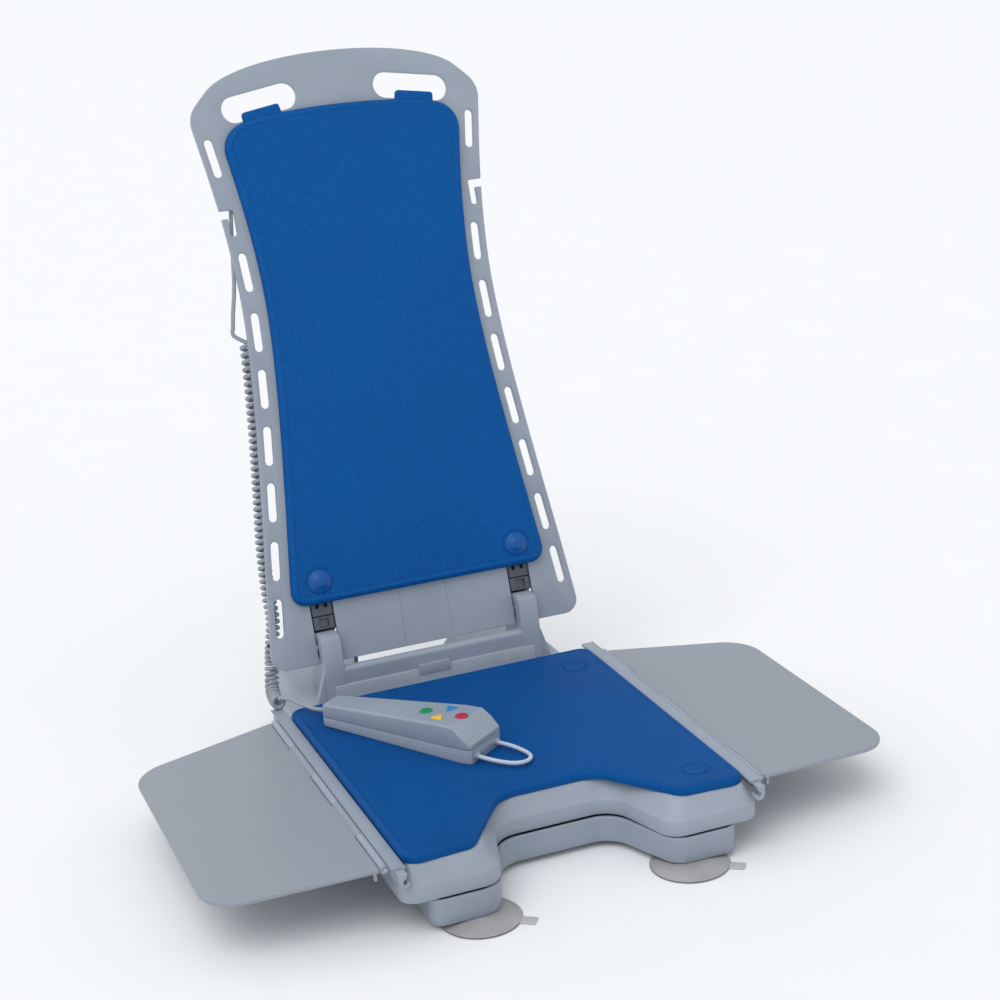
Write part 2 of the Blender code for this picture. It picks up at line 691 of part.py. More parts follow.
def back_plate(axis):
    plan = hourglass(PLATE_BOTTOM, PLATE_CORNER_TOP, PLATE_CROWN, 0.0, 0.016)
    plate = prism("back_plate", plan, *PLATE_Z, grey(), axis, bevel=0.0015, segments=1)
    low, high = PLATE_Z[0] - 0.02, PLATE_Z[1] + 0.02
    for side in (-1, 1):
        tag = "r" if side > 0 else "l"
        for index, height in enumerate(SLOT_HEIGHTS):
            ahead = plate_half_width(height + 0.02) - plate_half_width(height - 0.02)
            slope = math.atan2(0.04, ahead * side)
            middle = ((plate_half_width(height) - SLOT_INSET) * side, height)
            slot = capsule(middle, SLOT_LENGTH, SLOT_WIDTH, slope)
            cut(plate, prism(f"slot_tool_{tag}_{index}", slot, low, high, grey(), axis))
        grip = capsule((GRIP_AT[0] * side, GRIP_AT[1]), *GRIP_SIZE, GRIP_TILT * side)
        cut(plate, prism(f"grip_tool_{tag}", grip, low, high, grey(), axis))
        cut(plate, prism(f"hook_tool_{tag}", hook_notch(side), low, high, grey(), axis))
        x_low, x_high = sorted((CUTOUT_X[0] * side, CUTOUT_X[1] * side))
        for place, (start, end) in {"inner": (BOSS_X[0], CUTOUT_X[0]), "outer": (CUTOUT_X[1], BOSS_X[1])}.items():
            left, right = sorted((start * side, end * side))
            boss = side_prism(f"boss_tool_{place}_{tag}", boss_outline(), left, right, grey(), axis)
            join(plate, boss)
        cut(plate, box(f"cutout_tool_{tag}", (x_low, PLATE_BOTTOM - 0.02, low), (x_high, CUTOUT_TOP, high),
                       grey(), axis))
        bore = rod(f"plate_bore_tool_{tag}", ((BOSS_X[0] - 0.008) * side, 0, 0), ((BOSS_X[1] + 0.007) * side, 0, 0),
                   BACK_PIN_R + GAP, grey(), axis)
        cut(plate, bore)
        rod(f"back_pin_{tag}", ((BOSS_X[0] + 0.0005) * side, 0, 0), ((BOSS_X[1] - 0.0005) * side, 0, 0),
            BACK_PIN_R, steel(), axis)
        rib = box(f"rib_tool_{tag}", (RIB_X * side - RIB_HALF, 0.030, -0.006),
                  (RIB_X * side + RIB_HALF, 0.520, 0.004), grey(), axis)
        join(plate, rib)


def boss_outline():
    """Side view of a hinge boss behind the plate, rounded about the recline axis."""
    round_back = [(0.0115 * math.cos(math.radians(turn)), 0.0115 * math.sin(math.radians(turn)))
                  for turn in range(180, 361, 30)]
    return round_back + [(0.016, 0.004), (0.016, 0.0085), (-0.015, 0.0085), (-0.015, 0.004)]


def hook_notch(side):
    """J-shaped notch in the plate's edge: a mouth, then a slot that drops behind a lip."""
    foot, lip, mouth = HOOK_Z
    edge = plate_half_width(lip)
    slot_in = edge - HOOK_INSET[1]
    slot_out = edge - HOOK_INSET[0]
    points = [(edge + 0.01, lip, 0), (edge + 0.01, mouth, 0), (slot_in, mouth, 0.003), (slot_in, foot, 0.0035),
              (slot_out, foot, 0.0035), (slot_out, lip, 0.001)]
    notch = rounded(points)
    return notch if side > 0 else [(-x, y) for x, y in reversed(notch)]


def back_pad(axis):
    outline = hourglass(0.048, 0.562, 0.583, 0.0255, 0.016)
    pad = prism("back_pad", outline, *BACK_PAD_Z, blue(), axis, bevel=0.0035, segments=1)
    for side in (-1, 1):
        tag = "r" if side > 0 else "l"
        tongue = capsule((GRIP_AT[0] * side, 0.580), 0.050, 0.016, GRIP_TILT * side)
        join(pad, prism(f"pad_tongue_tool_{tag}", tongue, BACK_PAD_Z[0] + 0.001, BACK_PAD_Z[1] - 0.003, blue(), axis))
        button = turned(f"back_button_{tag}", [(0, 0), (0.0125, 0), (0.0115, 0.0016), (0.007, 0.0036), (0, 0.0044)],
                        blue(), axis, sides=24)
        button.location = (0.115 * side, 0.072, BACK_PAD_Z[1] + GAP)


def latch(axis, side):
    """Two dark latch pieces that fill the cut-out above a lug."""
    tag = "r" if side > 0 else "l"
    left, right = sorted(((CUTOUT_X[0] + 0.0015) * side, (CUTOUT_X[1] - 0.0015) * side))
    box(f"latch_block_{tag}", (left, LATCH_BLOCK_Y[0], -0.002), (right, LATCH_BLOCK_Y[1], 0.0075), dark(), axis,
        bevel=0.0008)
    middle = (left + right) / 2
    foot, valley, peak, side_peak = LATCH_CLIP_Y
    tops = [(LATCH_HALF, side_peak), (0.0080, valley), (0.0030, valley), (0.0, peak), (-0.0030, valley),
            (-0.0080, valley), (-LATCH_HALF, side_peak)]
    outline = [(middle - LATCH_HALF, foot), (middle + LATCH_HALF, foot)] + [(middle + x, y) for x, y in tops]
    prism(f"latch_clip_{tag}", outline, -0.001, 0.0080, dark(), axis)


def backrest():
    axis = empty("backrest_axis", (0, RECLINE_Y, RECLINE_Z), (math.pi / 2 - LEAN, 0, 0))
    back_plate(axis)
    back_pad(axis)
    for side in (-1, 1):
        latch(axis, side)
    return axis


# ---------------------------------------------------------------- handset
def handset_section(along):
    """Half width and height of the handset at a distance from its rear end."""
    share = along / HANDSET_LENGTH
    return 0.0140 + 0.0160 * share, 0.0250 + 0.0125 * min(1.0, share * 1.25)


def handset_half(name, axis, low_share, high_share, skin):
    """Lower or upper half of the tapered case, split along its seam."""
    bm = bmesh.new()
    rings = []
    stations = [0.0, 0.004, 0.050, 0.110, 0.157, 0.190, HANDSET_LENGTH]
    for along in stations:
        half, height = handset_section(along)
        end = 0.003 if along in (0.0, HANDSET_LENGTH) else 0.0
        half -= end
        upper = high_share == 1.0
        low, high = height * low_share, height * high_share - (end if upper else 0.0)
        if not upper:
            low += end
        chamfer = 0.005
        if upper:
            ring = [(-half, low), (half, low), (half, high - chamfer), (half - chamfer, high),
                    (-half + chamfer, high), (-half, high - chamfer)]
        else:
            ring = [(-half, low + 0.003), (-half + 0.003, low), (half - 0.003, low), (half, low + 0.003),
                    (half, high), (-half, high)]
        rings.append([bm.verts.new((along, y, z)) for y, z in ring])
    for near, far in zip(rings, rings[1:]):
        for index in range(len(near)):
            ahead = (index + 1) % len(near)
            bm.faces.new((near[index], near[ahead], far[ahead], far[index]))
    bm.faces.new(rings[0])
    bm.faces.new(rings[-1])
    return mesh_object(name, bm, skin, axis)


def key_places():
    """Diamond of four keys: (name, colour, x, y, number of sides, turn)."""
    return [("key_green", (0.01, 0.30, 0.09), 0.1255, 0.0, 20, 0.0),
            ("key_yellow", (0.95, 0.55, 0.02), 0.1480, -0.0120, 3, 90.0),
            ("key_blue", (0.02, 0.27, 0.60), 0.1480, 0.0120, 3, 270.0),
            ("key_red", (0.60, 0.02, 0.04), 0.1690, 0.0, 20, 0.0)]


def key_outline(sides, turn, grow=0.0):
    radius = (KEY_R if sides > 3 else KEY_R * 1.25) + grow * (1 if sides > 3 else 2)
    corners = [(radius * math.cos(math.radians(turn) + 2 * math.pi * side / sides),
                radius * math.sin(math.radians(turn) + 2 * math.pi * side / sides)) for side in range(sides)]
    if sides > 3:
        return corners
    return rounded([(x, y, 0.0012) for x, y in corners])


def handset():
    axis = empty("handset_axis", HANDSET_AT, (0, 0, HANDSET_TURN))
    seam = 0.42
    handset_half("handset_base", axis, 0.0, seam, grey())
    top = handset_half("handset_top", axis, seam + 0.012, 1.0, grey())
    for name, colour, x, y, sides, turn in key_places():
        surface = handset_section(x)[1]
        pocket = [(x + px, y + py) for px, py in key_outline(sides, turn, 0.0004)]
        cut(top, prism(f"{name}_pocket_tool", pocket, surface - KEY_POCKET, surface + 0.01, grey(), axis))
        outline = [(x + px, y + py) for px, py in key_outline(sides, turn)]
        prism(name, outline, surface - KEY_POCKET + 0.0015, surface + KEY_UP,
              material(name, colour, 0.4), axis, bevel=0.0005, segments=1)
    front = HANDSET_LENGTH + GAP
    loop = [(front, -0.0180, 0.007), (front + 0.020, -0.0178, 0.006), (front + 0.038, -0.0140, 0.005),
            (front + 0.0475, -0.0075, 0.005), (front + 0.0500, 0.0, 0.005), (front + 0.0475, 0.0075, 0.005),
            (front + 0.038, 0.0140, 0.005), (front + 0.020, 0.0178, 0.006), (front, 0.0180, 0.007)]
    tube("handset_loop", loop, 0.0022, material("loop_grey", (0.52, 0.60, 0.70), 0.35), axis, 0.006, 3)


# ---------------------------------------------------------------- cord
def cord(back_axis):
    """Curly handset cord: a short lead, the coil up the backrest's edge, and the lead to the drive."""
    hand_end = (-0.1446, 0.0470, 0.0885)
    tube("cord_lead_hand", [hand_end, (-0.1520, 0.0600, 0.0865), (-0.1610, 0.0790, 0.0845),
                            (-0.1700, 0.0990, 0.0870), (-0.1760, 0.1085, 0.0860)], CORD_R, cord_grey(), spacing=0.006)
    tube("cord_coil_low", [(-0.1820, 0.1100, 0.0800), (-0.1820, 0.1260, 0.0800), (-0.1800, 0.1420, 0.0850),
                           (-0.1765, 0.1520, 0.0980), (-0.1745, 0.1530, 0.1150)], COIL_R, cord_grey(),
         spacing=0.010, resolution=3)
    behind = PLATE_Z[0] - COIL_R - 0.0005
    climb = [(-0.1735, 0.0140, behind), (-0.1680, 0.0400, behind), (-0.1680, 0.0700, behind)]
    for height in (0.12, 0.18, 0.24, 0.30, 0.338):
        climb.append((-plate_half_width(height) + 0.001, height, behind))
    tube("cord_coil_high", climb, COIL_R, cord_grey(), back_axis, spacing=0.030, resolution=3)
    flat = PLATE_Z[0] - CORD_R - 0.0004
    lead = [(-0.1490, 0.3395, behind), (-0.1560, 0.3520, -0.003), (-0.1545, 0.3700, flat), (-0.1470, 0.4050, flat),
            (-0.1400, 0.4600, flat), (-0.1320, 0.5000, flat), (-0.1130, 0.5180, flat), (-0.0930, 0.5020, flat),
            (-0.0820, 0.4500, flat), (-0.0780, 0.3600, flat), (-0.0780, 0.2400, flat), (-0.0780, 0.1200, flat),
            (-0.0780, 0.0100, flat)]
    tube("cord_lead_high", lead, CORD_R, cord_grey(), back_axis, spacing=0.014)
    tube("cord_lead_low", [(-0.0780, 0.1385, 0.1170), (-0.0780, 0.1430, 0.1080), (-0.0780, 0.1530, 0.0990),
                           (-0.0780, 0.1578, 0.0945), (-0.0780, 0.1580, 0.0885)], CORD_R, cord_grey(), spacing=0.005)
    turned("cord_plug", [(0, 0), (0.0080, 0), (0.0080, 0.0080), (0.0055, 0.0100), (0.0045, 0.0190), (0, 0.0190)],
           dark(), sides=16).location = (-0.0780, 0.1580, SHELL_Z[1] + GAP)


# ---------------------------------------------------------------- build
def main():
    clear_scene()
    base_tray()
    for name, x, y in cup_places():
        suction_cup(name, x, y)
    scissor()
    seat()
    back_axis = backrest()
    handset()
    cord(back_axis)


main()
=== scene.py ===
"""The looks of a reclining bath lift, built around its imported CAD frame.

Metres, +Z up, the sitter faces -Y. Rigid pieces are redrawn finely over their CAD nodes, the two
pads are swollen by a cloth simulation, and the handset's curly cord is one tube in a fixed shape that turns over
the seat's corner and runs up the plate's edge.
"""

import json
from functools import partial
from math import atan2, ceil, cos, pi, radians, sin, sqrt, tan, tau

import bmesh
import bpy
import numpy as np
from mathutils import Matrix, Vector
from mathutils.geometry import delaunay_2d_cdt


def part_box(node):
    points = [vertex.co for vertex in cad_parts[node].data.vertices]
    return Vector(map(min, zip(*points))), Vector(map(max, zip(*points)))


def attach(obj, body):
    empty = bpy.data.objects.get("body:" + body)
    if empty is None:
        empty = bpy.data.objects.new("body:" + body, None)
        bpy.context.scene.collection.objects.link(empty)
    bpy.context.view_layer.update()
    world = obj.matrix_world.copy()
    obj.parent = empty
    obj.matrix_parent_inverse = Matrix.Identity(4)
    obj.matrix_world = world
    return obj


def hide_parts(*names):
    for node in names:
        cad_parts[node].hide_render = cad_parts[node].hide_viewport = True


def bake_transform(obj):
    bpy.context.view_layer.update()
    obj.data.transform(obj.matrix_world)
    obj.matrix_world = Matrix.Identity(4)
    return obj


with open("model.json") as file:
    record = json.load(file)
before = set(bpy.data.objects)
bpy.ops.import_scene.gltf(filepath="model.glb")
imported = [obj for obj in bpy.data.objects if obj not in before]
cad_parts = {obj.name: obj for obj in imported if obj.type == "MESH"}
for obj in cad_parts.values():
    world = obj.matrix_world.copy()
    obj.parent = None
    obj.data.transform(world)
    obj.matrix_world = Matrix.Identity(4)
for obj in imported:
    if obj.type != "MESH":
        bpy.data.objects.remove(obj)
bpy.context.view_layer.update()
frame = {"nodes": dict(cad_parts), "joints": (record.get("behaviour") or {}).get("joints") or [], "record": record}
AXIS = {joint["name"]: joint.get("pos_m") for joint in frame["joints"]}
SIDES = (("l", -1), ("r", 1))

# ---- the CAD's frames and sizes, in metres
LEAN = radians(17.06)
BACK = Matrix.Translation(AXIS["recline"]) @ Matrix.Rotation(pi / 2 - LEAN, 4, "X")
HAND = Matrix.Translation((-0.144, 0.046, 0.0763)) @ Matrix.Rotation(radians(-54.3), 4, "Z")
FLAP_DROOP = radians(3.3)
HINGE = Vector(AXIS["flap_right_hinge"])
PLATE_H = (0.003, 0.009)
CORD_R = 0.0023
COIL_R = 0.008
COIL_PITCH = (0.0062, 0.008)
ARC_STEP = radians(6)
BACK_BORE = 0.0053
ARM_BORE = 0.0063
FLAP_BORE = 0.0023
HINGE_ENDS = (-0.273, 0.092)
LATCH_GAP = (0.1025, 0.1285)
SLOT_HEIGHTS = (0.04, 0.102, 0.165, 0.226, 0.2875, 0.349, 0.4145, 0.54)
RIB_HEIGHTS = (0.075, 0.155, 0.235, 0.315, 0.395, 0.475)
SEAT_BUTTON_X = 0.1386
SEAT_BUTTON_Y = (-0.243, 0.05)
BACK_BUTTON = (0.115, 0.072)
GRIP_X = 0.087
GRIP_TILT = radians(-9)
HAND_LENGTH = 0.196
THREAD_PITCH = 0.003
CUP_X = 0.1085
CUP_Y = {"front": -0.285, "rear": 0.237}


# ---- materials
def socket(node, **values):
    """The node with some of its inputs set."""
    for name, value in values.items():
        node.inputs[name.replace("_", " ")].default_value = value
    return node


def skin(name, colour, deep, pale, rough=(0.42, 0.55), grain=900.0, bump=0.12, depth=0.0002, blotch=9.0,
         speckle=0.35, cells=None, shine=0.5, along=None, **extra):
    """A surface with slow blotches, fine speckle, a roughness that varies and a grain in its bump.

    Along is the axis that its marks are drawn out along, as in brushed metal.
    """
    made = bpy.data.materials.new(name)
    made.use_nodes = True
    tree = made.node_tree
    link = tree.links.new
    shader = socket(tree.nodes["Principled BSDF"], Specular_IOR_Level=shine, **extra)

    def add(kind, **values):
        return socket(tree.nodes.new("ShaderNode" + kind), **values)

    place = add("TexCoord").outputs["Object"]
    if along:
        stretch = add("Mapping", Scale=[0.06 if axis == along else 1.0 for axis in "XYZ"])
        link(place, stretch.inputs["Vector"])
        place = stretch.outputs["Vector"]
    slow = add("TexNoise", Scale=blotch, Detail=3.0)
    fine = add("TexNoise", Scale=grain, Detail=2.0)
    mix = add("Mix", Factor=speckle)
    for noise, share in ((slow, "A"), (fine, "B")):
        link(place, noise.inputs["Vector"])
        link(noise.outputs["Fac"], mix.inputs[share])
    ramp = add("ValToRGB")
    for stop, at, strength in zip(ramp.color_ramp.elements, (0.36, 0.64), (deep, pale)):
        stop.position = at
        stop.color = (*[min(1.0, c * strength) for c in colour], 1.0)
    link(mix.outputs["Result"], ramp.inputs["Fac"])
    link(ramp.outputs["Color"], shader.inputs["Base Color"])
    spread = add("MapRange", From_Min=0.35, From_Max=0.65, To_Min=rough[0], To_Max=rough[1])
    link(slow.outputs["Fac"], spread.inputs["Value"])
    link(spread.outputs["Result"], shader.inputs["Roughness"])
    height = fine.outputs["Fac"]
    if cells:
        pebble = add("TexVoronoi", Scale=cells)
        pebble.feature = "SMOOTH_F1"
        link(place, pebble.inputs["Vector"])
        height = pebble.outputs["Distance"]
    relief = add("Bump", Strength=bump, Distance=depth)
    link(height, relief.inputs["Height"])
    link(relief.outputs["Normal"], shader.inputs["Normal"])
    return made


GREY = skin("grey_moulding", (0.322, 0.366, 0.432), 0.92, 1.06, (0.4, 0.52), grain=1400.0, bump=0.16,
            depth=0.00018, shine=0.35)
BASE_GREY = skin("base_moulding", (0.29, 0.334, 0.4), 0.94, 1.05, (0.38, 0.5), grain=1400.0, bump=0.14,
                 shine=0.35)
HAND_GREY = skin("handset_case", (0.3, 0.352, 0.418), 0.94, 1.05, (0.36, 0.48), grain=1700.0, bump=0.22,
                 shine=0.4)
FLAP_GREY = skin("flap_sheet", (0.285, 0.318, 0.362), 0.96, 1.04, (0.46, 0.56), grain=1100.0, bump=0.1,
                 blotch=5.0, shine=0.35)
BLUE_SEAT = skin("blue_seat_skin", (0.0004, 0.072, 0.272), 0.88, 1.1, (0.5, 0.62), grain=650.0, bump=0.16,
                 depth=0.0003, blotch=6.0, speckle=0.5, cells=620.0, shine=0.1)
BLUE_BACK = skin("blue_pebbled_skin", (0.001, 0.084, 0.31), 0.84, 1.22, (0.5, 0.64), grain=640.0, bump=0.45,
                 depth=0.0005, blotch=7.0, speckle=0.8, cells=560.0, shine=0.12)
BLUE_BUTTON = skin("blue_button", (0.001, 0.086, 0.32), 0.92, 1.08, (0.3, 0.4), grain=900.0, bump=0.08,
                   shine=0.35)
DARK = skin("dark_moulding", (0.082, 0.097, 0.122), 0.85, 1.15, (0.35, 0.48), grain=1200.0, bump=0.12)
BLACK = skin("black_housing", (0.02, 0.022, 0.026), 0.85, 1.2, (0.4, 0.55), grain=1000.0, bump=0.14)
CORD = skin("cord_jacket", (0.3, 0.335, 0.385), 0.92, 1.06, (0.34, 0.44), grain=1500.0, bump=0.1)
LOOP = skin("loop_cord", (0.5, 0.575, 0.68), 0.94, 1.04, (0.28, 0.38), grain=1300.0, bump=0.08)
CUP = skin("cup_elastomer", (0.43, 0.425, 0.435), 0.84, 1.1, (0.3, 0.44), grain=600.0, bump=0.1, blotch=34.0,
           Transmission_Weight=0.12, IOR=1.42)
CUP_RIM = skin("cup_rim", (0.15, 0.15, 0.155), 0.9, 1.1, (0.4, 0.5), grain=600.0, bump=0.08)
TAB = skin("cup_tab", (0.62, 0.62, 0.63), 0.9, 1.06, (0.3, 0.42), grain=700.0, bump=0.1, blotch=60.0,
           Transmission_Weight=0.2, IOR=1.42)
STEEL_X, STEEL_Y = [skin(name, (0.56, 0.57, 0.59), 0.86, 1.1, rough, grain=240.0, bump=0.1, depth=0.0001,
                         blotch=14.0, along=axis, Metallic=1.0)
                    for name, axis, rough in (("steel_across", "X", (0.24, 0.36)),
                                              ("steel_along", "Y", (0.26, 0.4)))]
KEY = {name: skin(f"key_face_{name}", colour, deep, pale, (0.3, 0.38), grain=1500.0, bump=0.06)
       for name, colour, deep, pale in (("green", (0.01, 0.29, 0.085), 0.9, 1.08),
                                        ("yellow", (0.9, 0.56, 0.03), 0.94, 1.05),
                                        ("blue", (0.03, 0.25, 0.56), 0.9, 1.08),
                                        ("red", (0.52, 0.025, 0.045), 0.9, 1.08))}


# ---- outlines
def rounded(corners, step=ARC_STEP):
    """Closed outline from (x, y, radius) corners, each corner turned into an arc."""
    outline = []
    count = len(corners)
    for index, (x, y, radius) in enumerate(corners):
        here = Vector((x, y))
        before = (Vector(corners[index - 1][:2]) - here).normalized()
        after = (Vector(corners[(index + 1) % count][:2]) - here).normalized()
        half = before.angle(after) / 2
        if radius <= 0 or half > radians(88):
            outline.append((x, y))
            continue
        middle = here + (before + after).normalized() * radius / sin(half)
        first = here + before * radius / tan(half) - middle
        last = here + after * radius / tan(half) - middle
        sweep = first.angle_signed(last)
        steps = max(3, ceil(abs(sweep) / step))
        for turn in range(steps + 1):
            arm = first.copy()
            arm.rotate(Matrix.Rotation(-sweep * turn / steps, 2))
            outline.append(tuple(middle + arm))
    return outline


def mirrored(half_side):
    """Whole outline from its +X half, listed from the front edge round to the rear."""
    return half_side + [(-x, *rest) for x, *rest in reversed(half_side)]


def capsule(centre, length, width, angle=0.0, steps=12):
    """Slot outline with round ends, its long side turned by angle from the x axis."""
    radius = width / 2
    reach = length / 2 - radius
    points = []
    for end in (1, -1):
        for step in range(steps + 1):
            turn = -pi / 2 + (end < 0) * pi + step * pi / steps
            along = end * reach + radius * cos(turn)
            across = radius * sin(turn)
            points.append((centre[0] + along * cos(angle) - across * sin(angle),
                           centre[1] + along * sin(angle) + across * cos(angle)))
    return points


def arc(middle, radius, degrees):
    """Points of a circle at the given angles."""
    return [(middle[0] + radius * cos(radians(turn)), middle[1] + radius * sin(radians(turn)))
            for turn in degrees]


def curve_through(knots, at):
    """Smooth value at one place, from a short list of (place, value) knots."""
    last = len(knots) - 2
    index = max(i for i in range(last + 1) if i == 0 or knots[i][0] <= at)
    (x1, y1), (x2, y2) = knots[index], knots[index + 1]
    slope = []
    for near in (index, index + 1):
        before, after = knots[max(near - 1, 0)], knots[min(near + 1, last + 1)]
        slope.append((after[1] - before[1]) / (after[0] - before[0]) * (x2 - x1))
    t = (at - x1) / (x2 - x1)
    return ((2 * t ** 3 - 3 * t ** 2 + 1) * y1 + (t ** 3 - 2 * t ** 2 + t) * slope[0]
            + (3 * t ** 2 - 2 * t ** 3) * y2 + (t ** 3 - t ** 2) * slope[1])


def plate_half_width(height):
    """Half width of the hourglass plate at a height above the recline axis."""
    return curve_through([(-0.017, 0.1815), (0.07, 0.172), (0.18, 0.159), (0.29, 0.148), (0.38, 0.144),
                          (0.46, 0.1485), (0.54, 0.159), (0.6, 0.169)], height)


def hourglass(bottom, corner_top, crown, margin, corner, steps=40):
    """Outline with flared sides and an arched top, a margin inside the plate's own."""
    side = [(0.0, bottom, 0), (plate_half_width(bottom) - margin, bottom, corner)]
    for step in range(2, steps - 3):
        height = bottom + (corner_top - bottom) * step / steps
        side.append((plate_half_width(height) - margin, height, 0))
    shoulder = plate_half_width(corner_top) - margin
    side.append((shoulder, corner_top, 0.03))
    for step in range(1, 15):
        turn = radians(18 + step * 5)
        reach = shoulder * 0.92 * cos(turn)
        side.append((reach, corner_top + (crown - corner_top) * sin(turn) ** 0.8, 0))
    return eased(rounded(mirrored([point for point in side if point[0] > 0.001])), corner_top - 0.01)


def eased(outline, above):
    """The outline with the corners above a height cut back twice, which rounds them."""
    for _ in range(2):
        softer = []
        for index, point in enumerate(outline):
            ahead = Vector(outline[(index + 1) % len(outline)])
            here = Vector(point)
            if here.y < above and ahead.y < above:
                softer.append(point)
            else:
                softer += [tuple(here.lerp(ahead, 0.25)), tuple(here.lerp(ahead, 0.75))]
        outline = softer
    return outline


# ---- mesh building
def placed(name, data):
    """A new object in the scene, from its data."""
    made = bpy.data.objects.new(name, data)
    bpy.context.scene.collection.objects.link(made)
    return made


def remove(thing):
    bpy.data.objects.remove(thing, do_unlink=True)


def build(name, bm, move=None):
    """An object from a bmesh, moved into the row frame."""
    bmesh.ops.recalc_face_normals(bm, faces=bm.faces)
    mesh = bpy.data.meshes.new(name)
    bm.to_mesh(mesh)
    bm.free()
    if move is not None:
        mesh.transform(move)
    return placed(name, mesh)


def loft(name, rings, move=None):
    """A closed solid through rings of points, all of one length, with flat ends."""
    bm = bmesh.new()
    rows = [[bm.verts.new(point) for point in ring] for ring in rings]
    for low, high in zip(rows, rows[1:]):
        for index in range(len(low)):
            ahead = (index + 1) % len(low)
            bm.faces.new((low[index], low[ahead], high[ahead], high[index]))
    bm.faces.new(rows[0])
    bm.faces.new(rows[-1])
    return build(name, bm, move)


def prism(name, outline, low, high, move=None, bevel=0.0, segments=3):
    made = loft(name, [[(x, y, height) for x, y in outline] for height in (low, high)], move)
    return bevelled(made, bevel, segments) if bevel else made


def box(name, low, high, move=None, bevel=0.0):
    (x0, x1), (y0, y1), (z0, z1) = [sorted(pair) for pair in zip(low, high)]
    return prism(name, [(x0, y0), (x1, y0), (x1, y1), (x0, y1)], z0, z1, move, bevel, 2)


SIDEWAYS = Matrix(((0, 0, 1, 0), (1, 0, 0, 0), (0, 1, 0, 0), (0, 0, 0, 1)))


def side_prism(name, outline, x_low, x_high, move=None, bevel=0.0):
    """Outline in y and z, carried along x."""
    turn = SIDEWAYS if move is None else move @ SIDEWAYS
    return prism(name, outline, min(x_low, x_high), max(x_low, x_high), turn, bevel)


def turned(name, profile, move=None, sides=64):
    """Solid of revolution about z from (radius, z) points, bottom to top."""
    bm = bmesh.new()
    rings = []
    for radius, z in profile:
        rings.append([bm.verts.new((radius * cos(tau * side / sides), radius * sin(tau * side / sides), z))
                      for side in range(sides if radius else 1)])

    for low, high in zip(rings, rings[1:]):
        for side in range(sides):
            ahead = (side + 1) % sides
            corners = [low[side % len(low)], low[ahead % len(low)], high[ahead % len(high)],
                       high[side % len(high)]]
            bm.faces.new(list(dict.fromkeys(corners)))
    return build(name, bm, move)


def rod(name, start, end, radius, sides=32):
    """Round bar between two points, with eased ends."""
    start = Vector(start)
    along = Vector(end) - start
    length = along.length
    edge = 0.0004
    return turned(name, [(0, 0), (radius - edge, 0), (radius, edge), (radius, length - edge),
                         (radius - edge, length), (0, length)], facing(start, along), sides)


def applied(thing):
    """The thing with its modifiers worked into its mesh."""
    graph = bpy.context.evaluated_depsgraph_get()
    mesh = bpy.data.meshes.new_from_object(thing.evaluated_get(graph))
    thing.modifiers.clear()
    thing.data = mesh
    return thing


def stacked(name, plan, levels, move=None):
    """A solid through the outline plan(inset) at the height of each (inset, height) level."""
    return loft(name, [[(x, y, height) for x, y in plan(inset)] for inset, height in levels], move)


def lengthwise(name, section, side, front, rear):
    """A section in x and z, on one side, carried from front to rear."""
    return loft(name, [[(x * side, y, z) for x, z in section] for y in (front, rear)])


def facing(start, along):
    """The frame at a point whose z axis looks along a direction."""
    return Matrix.Translation(start) @ along.to_track_quat("Z", "Y").to_matrix().to_4x4()


def bore(joint, reach, radius):
    """A cutter across the object on a joint's axis."""
    _, y, z = AXIS[joint]
    return rod("bore", (-reach, y, z), (reach, y, z), radius)


def bevelled(thing, width, segments=3, angle=40):
    step = thing.modifiers.new("round", "BEVEL")
    step.width = width
    step.segments = segments
    step.limit_method = "ANGLE"
    step.angle_limit = radians(angle)
    step.use_clamp_overlap = False
    return applied(thing)


def combined(target, operation, tools):
    """Boolean of the target with several tools, which are used up."""
    for tool in tools:
        step = target.modifiers.new(operation, "BOOLEAN")
        step.operation = operation
        step.solver = "EXACT"
        step.object = tool
    applied(target)
    for tool in tools:
        remove(tool)
    return target


def cut(target, *tools):
    return combined(target, "DIFFERENCE", tools)


def fuse(target, *tools):
    return combined(target, "UNION", tools)


def show(thing, material, body, replaces=(), sharp=32):
    """Gives a piece its material and shading, and puts it on its body."""
    mesh = thing.data
    mesh.materials.clear()
    mesh.materials.append(material)
    mesh.shade_smooth()
    mesh.set_sharp_from_angle(angle=radians(sharp))
    mesh.name = thing.name
    if body:
        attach(thing, body)
    if replaces:
        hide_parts(*replaces)
    return thing


def rework(node, material, bevel):
    """A CAD node drawn again with whole faces, eased edges and smooth shading."""
    bm = bmesh.new()
    bm.from_mesh(frame["nodes"][node].data)
    bmesh.ops.remove_doubles(bm, verts=bm.verts, dist=0.00002)
    bmesh.ops.dissolve_limit(bm, angle_limit=radians(1), verts=bm.verts, edges=bm.edges)
    thing = build(node + "_skin", bm)
    if bevel:
        bevelled(thing, bevel, 2, 30)
    body = next(name for name, members in frame["record"]["behaviour"]["bodies"].items() if node in members)
    return show(thing, material, body, [node])


def smooth_points(route, spacing):
    """Points read about every spacing from a smooth curve through the route."""
    knots = [Vector(point) for point in route]
    knots = [2 * knots[0] - knots[1]] + knots + [2 * knots[-1] - knots[-2]]
    points = []
    for index in range(1, len(knots) - 2):
        p0, p1, p2, p3 = knots[index - 1:index + 3]
        steps = max(1, round((p2 - p1).length / spacing))
        for step in range(steps):
            t = step / steps
            points.append(0.5 * (2 * p1 + (p2 - p0) * t + (2 * p0 - 5 * p1 + 4 * p2 - p3) * t ** 2
                                 + (3 * p1 - p0 - 3 * p2 + p3) * t ** 3))
    points.append(knots[-2])
    return points


